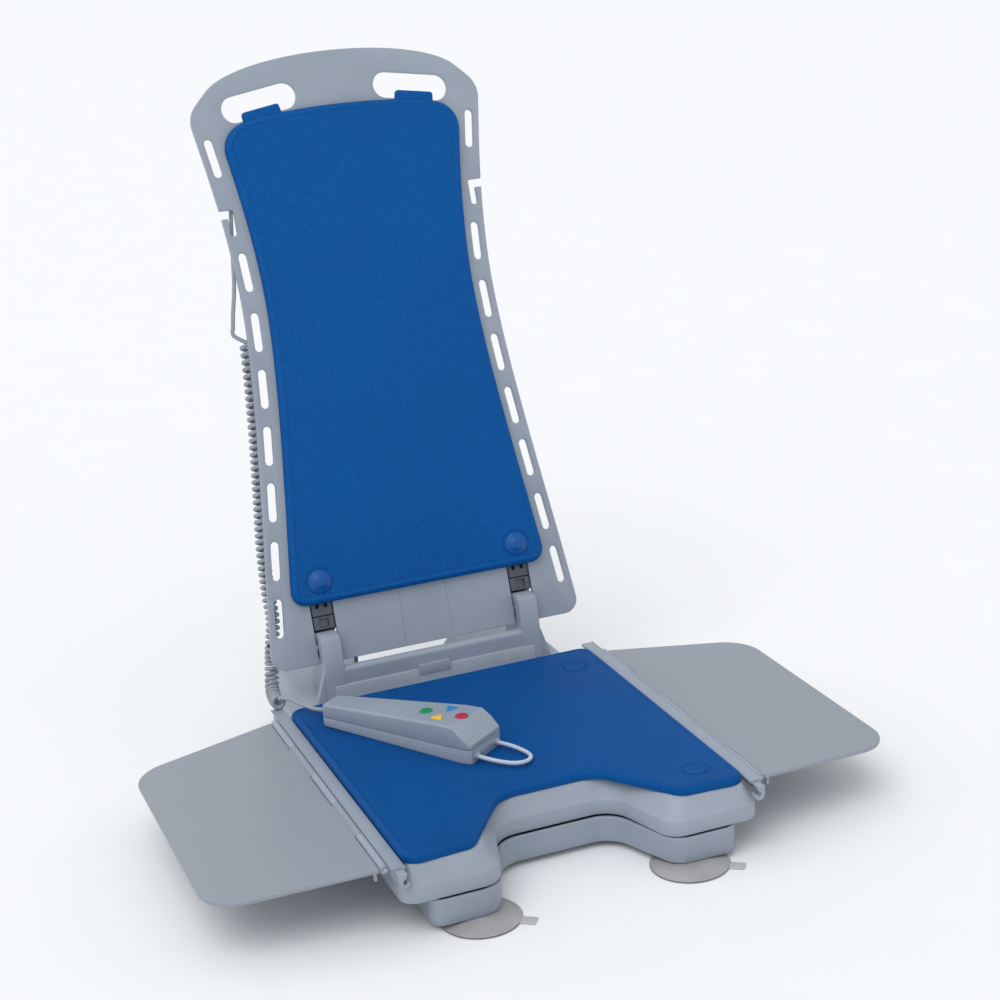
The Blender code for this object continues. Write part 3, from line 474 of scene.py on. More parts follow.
def carried_frames(points):
    """For each point of a line, its direction and a side direction that turns as little as it can."""
    frames = []
    side = None
    for index, point in enumerate(points):
        ahead = (points[min(index + 1, len(points) - 1)] - points[max(index - 1, 0)]).normalized()
        if side is None:
            side = ahead.orthogonal().normalized() if abs(ahead.y) < 0.8 else \
                (Vector((0, 0, 1)) - ahead * ahead.z).normalized()
        side = (side - ahead * side.dot(ahead)).normalized()
        frames.append((ahead, side))
    return frames


def tube(name, points, radius, sides=10):
    """A closed tube of constant radius along a line."""
    rings = []
    for point, (ahead, side) in zip(points, carried_frames(points)):
        other = ahead.cross(side)
        rings.append([point + radius * (cos(tau * k / sides) * side + sin(tau * k / sides) * other)
                      for k in range(sides)])
    return loft(name, rings)


# ---- camera
def camera():
    """The photograph's view: a long lens from the front left, slightly rolled."""
    azimuth, elevation, roll = (radians(angle) for angle in (-20.694, 18.219, -3.802))
    back = Vector((sin(azimuth) * cos(elevation), -cos(azimuth) * cos(elevation), sin(elevation)))
    right = Vector((cos(azimuth), sin(azimuth), 0))
    up = back.cross(right)
    across = right * cos(roll) + up * sin(roll)
    upward = up * cos(roll) - right * sin(roll)
    data = bpy.data.cameras.new("camera")
    data.lens = 73.84
    data.sensor_width = 36.0
    data.clip_start = 0.05
    data.clip_end = 100.0
    made = placed("camera", data)
    turn = Matrix((across, upward, back)).transposed().to_4x4()
    made.matrix_world = Matrix.Translation((-0.6648, -1.8805, 0.9625)) @ turn
    bpy.context.scene.camera = made


# ---- cords
def in_back(x, up, out):
    return BACK @ Vector((x, up, out))


def coil_axis():
    """The line down the middle of the curly part: over the seat's corner, then up the plate's edge."""
    behind = PLATE_H[0] - COIL_R - 0.0005
    low = [(-0.182, 0.11, 0.08), (-0.182, 0.126, 0.08), (-0.18, 0.142, 0.085), (-0.1765, 0.152, 0.098),
           (-0.1745, 0.153, 0.115)]
    high = [in_back(-0.1735, 0.014, behind), in_back(-0.168, 0.04, behind), in_back(-0.168, 0.07, behind)]
    for height in (0.12, 0.18, 0.24, 0.3, 0.338):
        high.append(in_back(-plate_half_width(height) + 0.001, height, behind))
    return smooth_points(low + high, 0.0012)


def helix(axis, radius, pitches, per_turn=16):
    """Turns wound round a line, the pitch changing evenly from its first value to its second."""
    frames = carried_frames(axis)
    along = [0.0]
    for a, b in zip(axis, axis[1:]):
        along.append(along[-1] + (b - a).length)
    tight, loose = pitches
    count = round(2 * along[-1] / (tight + loose) * per_turn)
    points = []
    index = 0
    for step in range(count + 1):
        share = step / count
        at = along[-1] * (tight * share + (loose - tight) * share ** 2 / 2) * 2 / (tight + loose)
        while index < len(axis) - 2 and along[index + 1] < at:
            index += 1
        share = (at - along[index]) / (along[index + 1] - along[index])
        centre = axis[index].lerp(axis[index + 1], share)
        ahead, side = frames[index]
        other = ahead.cross(side)
        turn = tau * step / per_turn
        points.append(centre + radius * (cos(turn) * side + sin(turn) * other))
    return points


def cords():
    """The handset's lead, and the curly cord with the lead that goes on behind the backrest."""
    wound = helix(coil_axis(), COIL_R - CORD_R, COIL_PITCH)
    flat = PLATE_H[0] - CORD_R - 0.0004
    lead = [(-0.1565, 0.35, -0.004), (-0.156, 0.358, -0.002), (-0.1545, 0.37, flat), (-0.147, 0.405, flat),
            (-0.14, 0.46, flat), (-0.132, 0.5, flat), (-0.113, 0.518, flat), (-0.093, 0.502, flat),
            (-0.082, 0.45, flat), (-0.078, 0.36, flat), (-0.078, 0.24, flat), (-0.078, 0.12, flat),
            (-0.078, 0.01, flat)]
    down = [(-0.078, 0.1385, 0.117), (-0.078, 0.143, 0.108), (-0.078, 0.153, 0.099),
            (-0.078, 0.1578, 0.0945), (-0.078, 0.158, 0.0885)]
    route = wound[:-1] + smooth_points([wound[-1]] + [in_back(*point) for point in lead] + down, 0.004)
    curly = show(tube("curly_cord", route, CORD_R, 10), CORD, None,
                 ["cord_coil_low", "cord_coil_high", "cord_lead_high", "cord_lead_low"], 60)
    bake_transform(curly)
    plug = rework("cord_plug", BLACK, 0.0005)

    hand_end = Vector((-0.1446, 0.047, 0.0885))
    knots = [hand_end, (-0.1485, 0.0535, 0.0872), (-0.1545, 0.065, 0.0852), (-0.1625, 0.081, 0.085),
             (-0.171, 0.098, 0.0866), (-0.1775, 0.107, 0.0862), wound[0]]
    route = smooth_points(knots, 0.0022)
    lead = show(tube("handset_lead", route, CORD_R, 12), CORD, None, ["cord_lead_hand"], 60)
    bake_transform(lead)
    away = (Vector(knots[2]) - hand_end).normalized()
    ribs = [(0, 0), (0.0042, 0)]
    for step in range(4):
        outer = 0.0044 - 0.0004 * step
        at = 0.0004 + 0.0021 * step
        ribs += [(outer, at + 0.0002), (outer, at + 0.0013), (outer - 0.0007, at + 0.0015),
                 (outer - 0.0007, at + 0.0019)]
    ribs += [(0.0029, 0.0092), (0, 0.0092)]
    boot = show(turned("lead_boot", ribs, facing(hand_end - away * 0.0015, away), 32), CORD, "handset")


# ---- pads
def resampled(outline, spacing):
    """The closed outline again, with points about spacing apart, as an array."""
    points = np.array(outline, float)
    closed = np.vstack([points, points[:1]])
    along = np.concatenate([[0], np.cumsum(np.linalg.norm(np.diff(closed, axis=0), axis=1))])
    at = np.linspace(0, along[-1], max(8, round(along[-1] / spacing)), endpoint=False)
    return np.stack([np.interp(at, along, closed[:, k]) for k in (0, 1)], axis=1)


def edge_distance(points, outline):
    """How far each point is from a closed outline."""
    best = np.full(len(points), np.inf)
    for a, b in zip(outline, np.roll(outline, -1, axis=0)):
        d = b - a
        t = np.clip(((points - a) @ d) / max(d @ d, 1e-12), 0, 1)
        best = np.minimum(best, np.linalg.norm(points - a - t[:, None] * d, axis=1))
    return best


def inside(points, outline):
    """Whether each point is inside a closed outline."""
    found = np.zeros(len(points), bool)
    for (x0, y0), (x1, y1) in zip(outline, np.roll(outline, -1, axis=0)):
        if y0 != y1:
            crosses = (points[:, 1] < y0) != (points[:, 1] < y1)
            found ^= crosses & (points[:, 0] < x0 + (points[:, 1] - y0) * (x1 - x0) / (y1 - y0))
    return found


def pad_sheet(outline, insets, circles, radii, spacing):
    """Even triangles over an outline, with rows of points near its edge and round each circle."""
    edge = resampled(outline, 0.0032)
    ahead = np.roll(edge, -1, axis=0) - np.roll(edge, 1, axis=0)
    normal = np.stack([-ahead[:, 1], ahead[:, 0]], axis=1) / np.linalg.norm(ahead, axis=1)[:, None]
    if not inside(edge[:1] + 0.002 * normal[:1], edge)[0]:
        normal = -normal
    loops = [edge] + [edge + inset * normal for inset in insets]
    for cx, cy in circles:
        for radius in radii:
            count = max(10, round(tau * radius / 0.0024))
            turn = np.arange(count) * tau / count
            loops.append(np.stack([cx + radius * np.cos(turn), cy + radius * np.sin(turn)], axis=1))
    low, high = edge.min(0), edge.max(0)
    rows = []
    for row, y in enumerate(np.arange(low[1], high[1], spacing * sqrt(3) / 2)):
        x = np.arange(low[0] + (row % 2) * spacing / 2, high[0], spacing)
        rows.append(np.stack([x, np.full(len(x), y)], axis=1))
    lattice = np.vstack(rows)
    lattice = lattice[inside(lattice, edge)]
    keep = edge_distance(lattice, edge) > insets[-1] + 0.5 * spacing
    for centre in circles:
        keep &= np.linalg.norm(lattice - np.array(centre), axis=1) > radii[-1] + 0.5 * spacing
    points, edges = [], []
    for loop in loops:
        first = len(points)
        points += [Vector(p) for p in loop]
        if loop is edge:
            edges += [(first + k, first + (k + 1) % len(loop)) for k in range(len(loop))]
    points += [Vector(p) for p in (*lattice[keep], *circles)]
    flat, _, faces, *_ = delaunay_2d_cdt(points, edges, [], 1, 1e-6)
    return edge, np.array([tuple(p) for p in flat]), [list(f) for f in faces]


def swell(points, faces, held, reach):
    """How far a skin with air behind it rises at each point."""
    mesh = bpy.data.meshes.new("swell")
    mesh.from_pydata([(x, y, 0.0) for x, y in points], [], faces)
    if sum(p.normal.z for p in mesh.polygons) < 0:
        mesh.flip_normals()
    sheet = placed("swell", mesh)
    pins = sheet.vertex_groups.new(name="pins")
    for index, weight in enumerate(held):
        if weight > 0.02:
            pins.add([index], float(weight), "REPLACE")
    cloth = sheet.modifiers.new("cloth", "CLOTH")
    for name, value in {"quality": 5, "mass": 0.3, "use_pressure": True, "uniform_pressure_force": 4.0,
                        "vertex_group_mass": "pins", "tension_stiffness": 25.0, "compression_stiffness": 25.0,
                        "bending_stiffness": 4.0, "air_damping": 4.0}.items():
        setattr(cloth.settings, name, value)
    cloth.settings.effector_weights.gravity = 0.0
    cloth.collision_settings.use_collision = False
    scene = bpy.context.scene
    for moment in range(1, 21):
        scene.frame_set(moment)
    graph = bpy.context.evaluated_depsgraph_get()
    moved = np.abs([vert.co.z for vert in sheet.evaluated_get(graph).data.vertices])
    scene.frame_set(1)
    remove(sheet)
    return reach * np.tanh(moved / max(moved.max() * 0.6, 1e-6))


def pad(name, outline, low, full, rim, circles, ring, reach, spacing, move, material, body, node):
    """A thin foam pad: a turned-down rim with a bead, a face that swells, and a ring round each button."""
    insets = [0.0005, 0.0012, 0.0022, 0.0034, 0.0046, 0.0054, 0.0062, 0.007, 0.008, 0.0095]
    radii = [0.004, 0.008, 0.0105, 0.0118, 0.0126, 0.0132, 0.0138, 0.0144, 0.0152, 0.0165, 0.0185]
    edge, points, faces = pad_sheet(outline, insets, circles, radii, spacing)
    d = edge_distance(points, edge)
    r = np.min([np.linalg.norm(points - np.array(c), axis=1) for c in circles], axis=0)
    held = np.clip(1 - (d - 0.009) / 0.01, 0, 1) + np.clip(1 - (r - 0.018) / 0.012, 0, 1)
    rise = swell(points, faces, np.clip(held, 0, 1), reach)
    thick = full - low
    round_in = np.sqrt(np.clip(1 - (1 - np.clip(d / rim, 0, 1)) ** 2, 0, 1))
    height = low + thick * (0.42 + 0.58 * round_in)
    height += 0.00045 * np.exp(-((d - 0.0054) / 0.0011) ** 2) - 0.00035 * np.exp(-((d - 0.008) / 0.0012) ** 2)
    height += rise + ring(r)
    bm = bmesh.new()
    top = [bm.verts.new((x, y, z)) for (x, y), z in zip(points, height)]
    for face in faces:
        bm.faces.new([top[i] for i in face])
    border = [e for e in bm.edges if len(e.link_faces) == 1]
    skirt = bmesh.ops.extrude_edge_only(bm, edges=border)
    for item in skirt["geom"]:
        if isinstance(item, bmesh.types.BMVert):
            item.co.z = low
    bmesh.ops.holes_fill(bm, edges=[e for e in bm.edges if len(e.link_faces) == 1], sides=0)
    thing = build(name, bm, move)
    show(thing, material, body, [node], 60)
    return thing


def seat_pad():
    low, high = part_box("seat_pad")
    plan = rounded(mirrored([(0.05, -0.197, 0.034), (0.103, -0.2715, 0.012), (0.11, low.y + 0.004, 0.012),
                             (high.x, low.y, 0.016), (high.x, high.y, 0.014)]))
    buttons = [(x, y) for y in SEAT_BUTTON_Y for x in (-SEAT_BUTTON_X, SEAT_BUTTON_X)]

    def ring(r):
        groove = -0.0011 * np.exp(-((r - 0.0138) / 0.0007) ** 2)
        return groove + 0.00035 * np.exp(-(r / 0.011) ** 4)

    pad("seat_cushion", plan, low.z, high.z, 0.0042, buttons, ring, 0.001, 0.0055, None, BLUE_SEAT, "seat",
        "seat_pad")
    for end in ("front", "rear"):
        for tag, _ in SIDES:
            node = f"seat_button_{end}_{tag}"
            middle = sum(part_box(node), Vector()) / 2
            top = high.z + 0.0004
            disc = turned(f"{node}_cap", [(0, low.z + 0.003), (0.012, low.z + 0.003), (0.0122, top - 0.0006),
                                          (0.0117, top), (0.0102, top + 0.0003), (0.0096, top + 0.0001),
                                          (0.005, top + 0.0002), (0, top + 0.0002)],
                          Matrix.Translation((middle.x, middle.y, 0)), 48)
            show(disc, BLUE_SEAT, "seat", [node], 50)


def back_pad():
    outline = hourglass(0.048, 0.562, 0.583, 0.0255, 0.016)
    across, up = BACK_BUTTON
    buttons = [(-across, up), (across, up)]

    def ring(r):
        return -0.0009 * np.exp(-((r - 0.0144) / 0.001) ** 2) + 0.0003 * np.exp(-((r - 0.017) / 0.0012) ** 2)

    pad("back_cushion", outline, 0.0093, 0.0186, 0.005, buttons, ring, 0.0016, 0.0055, BACK, BLUE_BACK,
        "backrest", "back_pad")
    for tag, side in SIDES:
        dome = [(0, 0.017), (0.0128, 0.017), (0.013, 0.0188), (0.0122, 0.0197), (0.01, 0.0202),
                (0.0088, 0.0207), (0.007, 0.022), (0.0045, 0.0231), (0.002, 0.0236), (0, 0.0237)]
        stud = turned(f"back_button_{tag}_cap", dome, BACK @ Matrix.Translation((across * side, up, 0)), 48)
        show(stud, BLUE_BUTTON, "backrest", [f"back_button_{tag}"], 60)
        middle = Vector((GRIP_X * side, 0.5775))
        turn = Matrix.Rotation(GRIP_TILT * side, 2)
        rings = []
        for shrink, out in ((0.001, 0.0092), (0.0, 0.0097), (0.0, 0.0135), (0.0006, 0.0147), (0.0016, 0.0154),
                            (0.003, 0.0157)):
            reach, rise = 0.0225 - shrink, 0.01 - shrink
            block = rounded(mirrored([(reach, -rise, 0.001), (reach - 0.0012, rise, 0.0032)]), radians(12))
            rings.append([(*(middle + turn @ Vector(corner)), out) for corner in block])
        show(loft(f"back_tab_{tag}", rings, BACK), BLUE_BACK, "backrest", sharp=60)


# ---- backrest
def hook_notch(side):
    """J-shaped notch in the plate's edge: a mouth, then a slot that drops behind a lip."""
    foot, lip, mouth = 0.455, 0.474, 0.483
    edge = plate_half_width(lip)
    deep, shallow = edge - 0.0145, edge - 0.007
    notch = rounded([(edge + 0.01, lip, 0), (edge + 0.01, mouth, 0), (deep, mouth, 0.003),
                     (deep, foot, 0.0035), (shallow, foot, 0.0035), (shallow, lip, 0.001)])
    return notch if side > 0 else [(-x, y) for x, y in reversed(notch)]


def back_plate():
    low, high = PLATE_H
    plate = prism("back_shell", hourglass(-0.017, 0.588, 0.643, 0.0, 0.016), low, high)
    inner, outer = LATCH_GAP
    holes, bosses = [], []
    for side in (-1, 1):
        outlines = []
        for height in SLOT_HEIGHTS:
            ahead = plate_half_width(height + 0.02) - plate_half_width(height - 0.02)
            middle = ((plate_half_width(height) - 0.0115) * side, height)
            outlines.append(capsule(middle, 0.0425, 0.0095, atan2(0.04, ahead * side)))
        outlines += [capsule((GRIP_X * side, 0.594), 0.086, 0.029, GRIP_TILT * side, 20), hook_notch(side)]
        holes += [prism("hole", outline, low - 0.01, high + 0.01) for outline in outlines]

        holes.append(box("hole", (inner * side, -0.04, low - 0.01), (outer * side, 0.056, high + 0.01)))
    cut(plate, *holes)
    bevelled(plate, 0.0009, 3, 50)
    for side in (-1, 1):
        profile = arc((0, 0), 0.0115, range(180, 361, 12)) + [(0.016, 0.004), (0.016, 0.0085),
                                                              (-0.015, 0.0085), (-0.015, 0.004)]
        for start, end in ((0.088, inner), (outer, 0.143)):
            bosses.append(side_prism("boss", profile, start * side, end * side, None, 0.0006))
        bosses.append(box("rib", (0.06 * side, 0.03, -0.006), (0.064 * side, 0.52, 0.004), None, 0.0007))
    for height in RIB_HEIGHTS:
        bosses.append(box("rib", (-0.0615, height - 0.0015, -0.0045), (0.0615, height + 0.0015, 0.004), None,
                          0.0006))
    fuse(plate, *bosses)
    for side in (-1, 1):
        cut(plate, rod("bore", (0.08 * side, 0, 0), (0.15 * side, 0, 0), BACK_BORE),
            box("line", (0.0272 * side, -0.03, high - 0.0004), (0.0278 * side, 0.06, high + 0.01)))
    plate.data.transform(BACK)
    show(plate, GREY, "backrest", ["back_plate"], 35)


def latches():
    """Dark snap pieces in the cut-outs: a two-pronged clip over a box with a recess, and behind each cut-out a
    black block that is painted shade.
    """
    for tag, side in SIDES:
        middle = sum(LATCH_GAP) / 2 * side
        prongs = mirrored([(0.0115, 0.0345), (0.0115, 0.055), (0.0078, 0.055), (0.0066, 0.043),
                           (0.0036, 0.043), (0.0016, 0.0515)])
        clip = prism(f"latch_prongs_{tag}", [(middle + x, y) for x, y in prongs], -0.001, 0.008, BACK, 0.0006)
        show(clip, DARK, "backrest", [f"latch_clip_{tag}"])
        pocket = box(f"latch_box_{tag}", (middle - 0.0115, 0.0195, -0.002), (middle + 0.0115, 0.0335, 0.0078),
                     None, 0.0007)
        cut(pocket, box("recess", (middle - 0.0055, 0.0215, 0.0045), (middle + 0.006, 0.0318, 0.02)))
        pocket.data.transform(BACK)
        show(pocket, DARK, "backrest", [f"latch_block_{tag}"])
        # Painted shade: a black block behind each cut-out stands in for the shadow there, so no white backdrop
        # shows through.
        behind = [(0.018, -0.0035), (0.0148, -0.0105), (0.03, -0.0105), (0.059, -0.005), (0.059, 0.0022),
                  (0.0188, 0.0022)]
        shade = side_prism(f"latch_shade_block_{tag}", behind, middle - 0.015, middle + 0.015, BACK, 0.0003)
        show(shade, BLACK, "backrest")


# ---- seat
def shell_plan(inset):
    """Seat outline: notched front, full width to the rails' end, narrower deck, rear notch."""
    side, deck, rear = 0.184 - inset, 0.161 - inset, 0.252 - inset
    return rounded(mirrored([
        (0.062 + inset, -0.209 + inset, 0.032), (0.087 + inset, -0.292 + inset, 0.022),
        (side, -0.292 + inset, 0.017 - inset), (side, 0.118 - inset, 0.008),
        (deck, 0.118 - inset, 0.004), (deck, rear, 0.018 - inset),
        (0.05 + inset, rear, 0.017 - inset), (0.05 + inset, 0.165 - inset, 0.01)]))


def seat_shell():
    sides = [(0.0016, 0.034), (0.0008, 0.0343), (0.0005, 0.0352), (0.0001, 0.0488), (0.0003, 0.0498),
             (0.001, 0.0507), (0.006, 0.058), (0.01, 0.064), (0.011, 0.0656), (0.0121, 0.0669),
             (0.0134, 0.0677), (0.015, 0.068)]
    shell = stacked("seat_body", shell_plan, sides)
    cut(shell, stacked("hollow", shell_plan, [(0.004, 0.024), (0.004, 0.048), (0.0145, 0.062)]))
    wall = [(0.113, 0.066), (0.122, 0.066), (0.122, 0.104), (0.116, 0.104), (0.113, 0.101)]
    ledge = [(0.1075, 0.066), (0.12, 0.066), (0.12, 0.085), (0.1118, 0.085), (0.1107, 0.0835),
             (0.1102, 0.074)]
    parts = [side_prism("wall", wall, -0.1065, 0.1065, None, 0.0014),
             side_prism("ledge", ledge, -0.118, 0.118, None, 0.001)]
    for side in (-1, 1):
        head = arc(AXIS["recline"][1:], 0.0175, range(84, -1, -7))
        lug = [(0.173, 0.066), (0.111, 0.066), (0.1125, 0.1), (0.118, 0.134), (0.1205, 0.1382),
               (0.125, 0.14), (0.134, 0.1402)] + head
        wedge = [(0.1255, 0.064), (0.1255, 0.106), (0.1285, 0.098), (0.139, 0.064)]
        hanger = [(0.202, 0.063), (0.206, 0.033), (0.224, 0.033), (0.228, 0.063)]
        gusset = [(0.1215, 0.066), (0.14, 0.066), (0.1215, 0.095)]
        parts += [side_prism("lug", lug, 0.1045 * side, 0.1265 * side, None, 0.0014),
                  bevelled(lengthwise("wedge", wedge, side, 0.1135, 0.1225), 0.0012),
                  side_prism("hanger", hanger, 0.094 * side, 0.1 * side, None, 0.0005)]
        parts += [side_prism("gusset", gusset, (x - 0.001) * side, (x + 0.001) * side)
                  for x in (0.035, 0.075)]
    fuse(shell, *parts)
    cut(shell, bore("recline", 0.15, BACK_BORE), bore("seat_level", 0.12, ARM_BORE))
    show(shell, GREY, "seat", ["seat_shell"], 35)


def base_tray():
    def plan(inset):
        return rounded(mirrored([(0.058 + inset, -0.213 + inset, 0.032),
                                 (0.09 + inset, -0.295 + inset, 0.022),
                                 (0.158 - inset, -0.295 + inset, 0.014 - inset),
                                 (0.158 - inset, 0.258 - inset, 0.02 - inset)]))

    sides = [(0.003, 0.006), (0.0016, 0.0063), (0.0009, 0.0073), (0.0004, 0.016), (0.0, 0.0322),
             (0.0006, 0.033)]
    tray = stacked("base_body", plan, sides)
    cut(tray, stacked("hollow", plan, [(0.003, 0.009), (0.003, 0.043)]))
    parts = []
    for side in (-1, 1):
        parts.append(box("track", (0.1075 * side, -0.268, 0.008), (0.1155 * side, 0.02, 0.0119), None,
                         0.0004))
        lug = [(0.203, 0.008), (0.227, 0.008), (0.224, 0.029), (0.206, 0.029)]
        parts.append(side_prism("lug", lug, 0.1235 * side, 0.1295 * side, None, 0.0006))
    fuse(tray, *parts)
    tools = [bore("lift", 0.14, ARM_BORE)]
    for x in (-CUP_X, CUP_X):
        for y in CUP_Y.values():
            tools.append(rod("bore", (x, y, 0), (x, y, 0.02), 0.0048))
    cut(tray, *tools)
    show(tray, BASE_GREY, "base", ["base_tray"], 35)


def cups():
    """Flat suction cups with a rolled rim, and a clear pull tab on each."""
    profile = [(0, 0.0022), (0.022, 0.0016), (0.035, 0), (0.0384, 0), (0.039, 0.0004), (0.0391, 0.001),
               (0.0386, 0.0015), (0.037, 0.0017), (0.033, 0.0026), (0.029, 0.0036), (0.024, 0.0045),
               (0.018, 0.0053), (0.013, 0.0057), (0.0045, 0.0057), (0.0045, 0.0093), (0.0065, 0.0093),
               (0.0065, 0.0112), (0, 0.0113)]
    strip = rounded([(-0.0062, 0.03, 0), (0.0062, 0.03, 0), (0.0068, 0.0535, 0.0012),
                     (-0.0058, 0.0535, 0.0012)])
    for end, y in CUP_Y.items():
        for tag, side in SIDES:
            x = CUP_X * side
            cup = turned(f"cup_{end}_{tag}", profile, Matrix.Translation((x, y, 0)), 96)
            show(cup, CUP, "base", [f"suction_cup_{end}_{tag}"], 50)
            cup.data.materials.append(CUP_RIM)
            for face in cup.data.polygons:
                face.material_index = int(Vector((face.center.x - x, face.center.y - y)).length > 0.0379)
            turn = radians(-125 if y < 0 else -30)
            move = Matrix.Translation((x, y, 0)) @ Matrix.Rotation(turn, 4, "Z")
            tab = prism(f"cup_tab_{end}_{tag}", strip, 0.0002, 0.0013, move, 0.0003)
            show(tab, TAB, "base")


def knuckles(kind, move, reach):
    """Hinge barrels on every second fifth of the hinge line: even ones on the rail, odd ones on the flap."""
    front, rear = HINGE_ENDS
    fifth = (rear - front) / 5
    parts = []
    for index in range(kind, 5, 2):
        start, end = front + index * fifth + 0.0003, front + (index + 1) * fifth - 0.0003
        barrel = rod("barrel", (0, start, 0), (0, end, 0), 0.0045, 28)
        low, high = sorted((0.0, reach))
        web = box("web", (low, start + 0.0002, -0.0018), (high, end - 0.0002, 0.0018))
        for part in (barrel, web):
            part.data.transform(move)
        parts += [barrel, web]
    return parts


def rails_and_flaps():
    section = [(0.177, 0.0683), (0.184, 0.0683), (0.1844, 0.068), (0.1844, 0.0584), (0.185, 0.058),
               (0.1874, 0.058), (0.188, 0.0586), (0.188, 0.07), (0.1903, 0.0706), (0.1908, 0.0711),
               (0.1908, 0.0715), (0.1904, 0.0719), (0.1898, 0.0718), (0.1894, 0.0713), (0.1886, 0.0712),
               (0.1778, 0.0712), (0.177, 0.0706)]
    hook = [(0.1785, 0.069), (0.1868, 0.069), (0.1872, 0.06), (0.185, 0.0545), (0.18, 0.0535),
            (0.1772, 0.056), (0.177, 0.0595), (0.1792, 0.0597), (0.18, 0.0573), (0.1826, 0.0575),
            (0.1832, 0.061), (0.18, 0.064)]
    prong = [(-0.2725, -0.0008), (-0.2685, -0.0008), (-0.2685, -0.0075), (-0.27, -0.0092), (-0.273, -0.0086),
             (-0.2716, -0.0068)]
    front, rear = HINGE_ENDS
    plan = rounded([(0.0051, front, 0), (0.163, -0.254, 0.042), (0.163, 0.058, 0.04), (0.0051, rear, 0)],
                   radians(4))
    for tag, side in SIDES:
        at_hinge = Matrix.Translation((HINGE.x * side, 0, HINGE.z))
        ends = [(HINGE.x * side, y, HINGE.z) for y in (-0.3, 0.2)]
        rail = lengthwise(f"rail_{tag}", section, side, -0.284, 0.116)
        fuse(rail, *knuckles(0, at_hinge, -0.006 * side))
        cut(rail, rod("bore", *ends, FLAP_BORE, 24))
        show(rail, GREY, "seat", [f"side_rail_{tag}"], 40)
        latch = bevelled(lengthwise(f"rail_hook_{tag}", hook, side, -0.2945, -0.2835), 0.0007)
        show(latch, GREY, "seat", sharp=40)

        leaf_at = at_hinge @ Matrix.Rotation(FLAP_DROOP * side, 4, "Y")
        outline = plan if side > 0 else [(-x, y) for x, y in reversed(plan)]
        leaf = prism(f"flap_leaf_{tag}", outline, -0.002, 0.002, leaf_at, 0.0009)
        fuse(leaf, *knuckles(1, leaf_at, 0.0066 * side))
        cut(leaf, rod("bore", *ends, FLAP_BORE, 24))
        body = "flap_left" if side < 0 else "flap_right"
        show(leaf, FLAP_GREY, body, [f"flap_{tag}"], 40)
        clip = side_prism(f"flap_hook_{tag}", prong, 0.008 * side, 0.0112 * side, leaf_at, 0.0004)
        show(clip, FLAP_GREY, body)


# ---- handset
def handset_size(along):
    """Half width and height of the handset's case at a distance from its rear end."""
    share = along / HAND_LENGTH
    return 0.014 + 0.016 * share, 0.025 + 0.0125 * min(1.0, share * 1.25)


def case_ring(along, trim_side, trim_top, trim_low):
    half, height = handset_size(along)
    half -= trim_side
    shape = rounded(mirrored([(half, trim_low, 0.002), (half, height - trim_top, 0.0026)]), radians(15))
    return [(along, y, z) for y, z in shape]


KEYS = [("green", 0.1255, 0, 0, 0), ("yellow", 0.148, -0.012, 3, 90), ("blue", 0.148, 0.012, 3, 270),
        ("red", 0.169, 0, 0, 0)]


def key_shape(key, share):
    """A key's outline on the handset, a disc or a soft triangle, scaled about its middle."""
    _, x, y, corners, turn = key
    radius = 0.0082 if corners else 0.0065
    count = corners or 40
    shape = [(radius * cos(radians(turn) + tau * k / count), radius * sin(radians(turn) + tau * k / count),
              0.0014) for k in range(count)]
    shape = rounded(shape, radians(10)) if corners else [point[:2] for point in shape]
    return [(x + px * share, y + py * share) for px, py in shape]


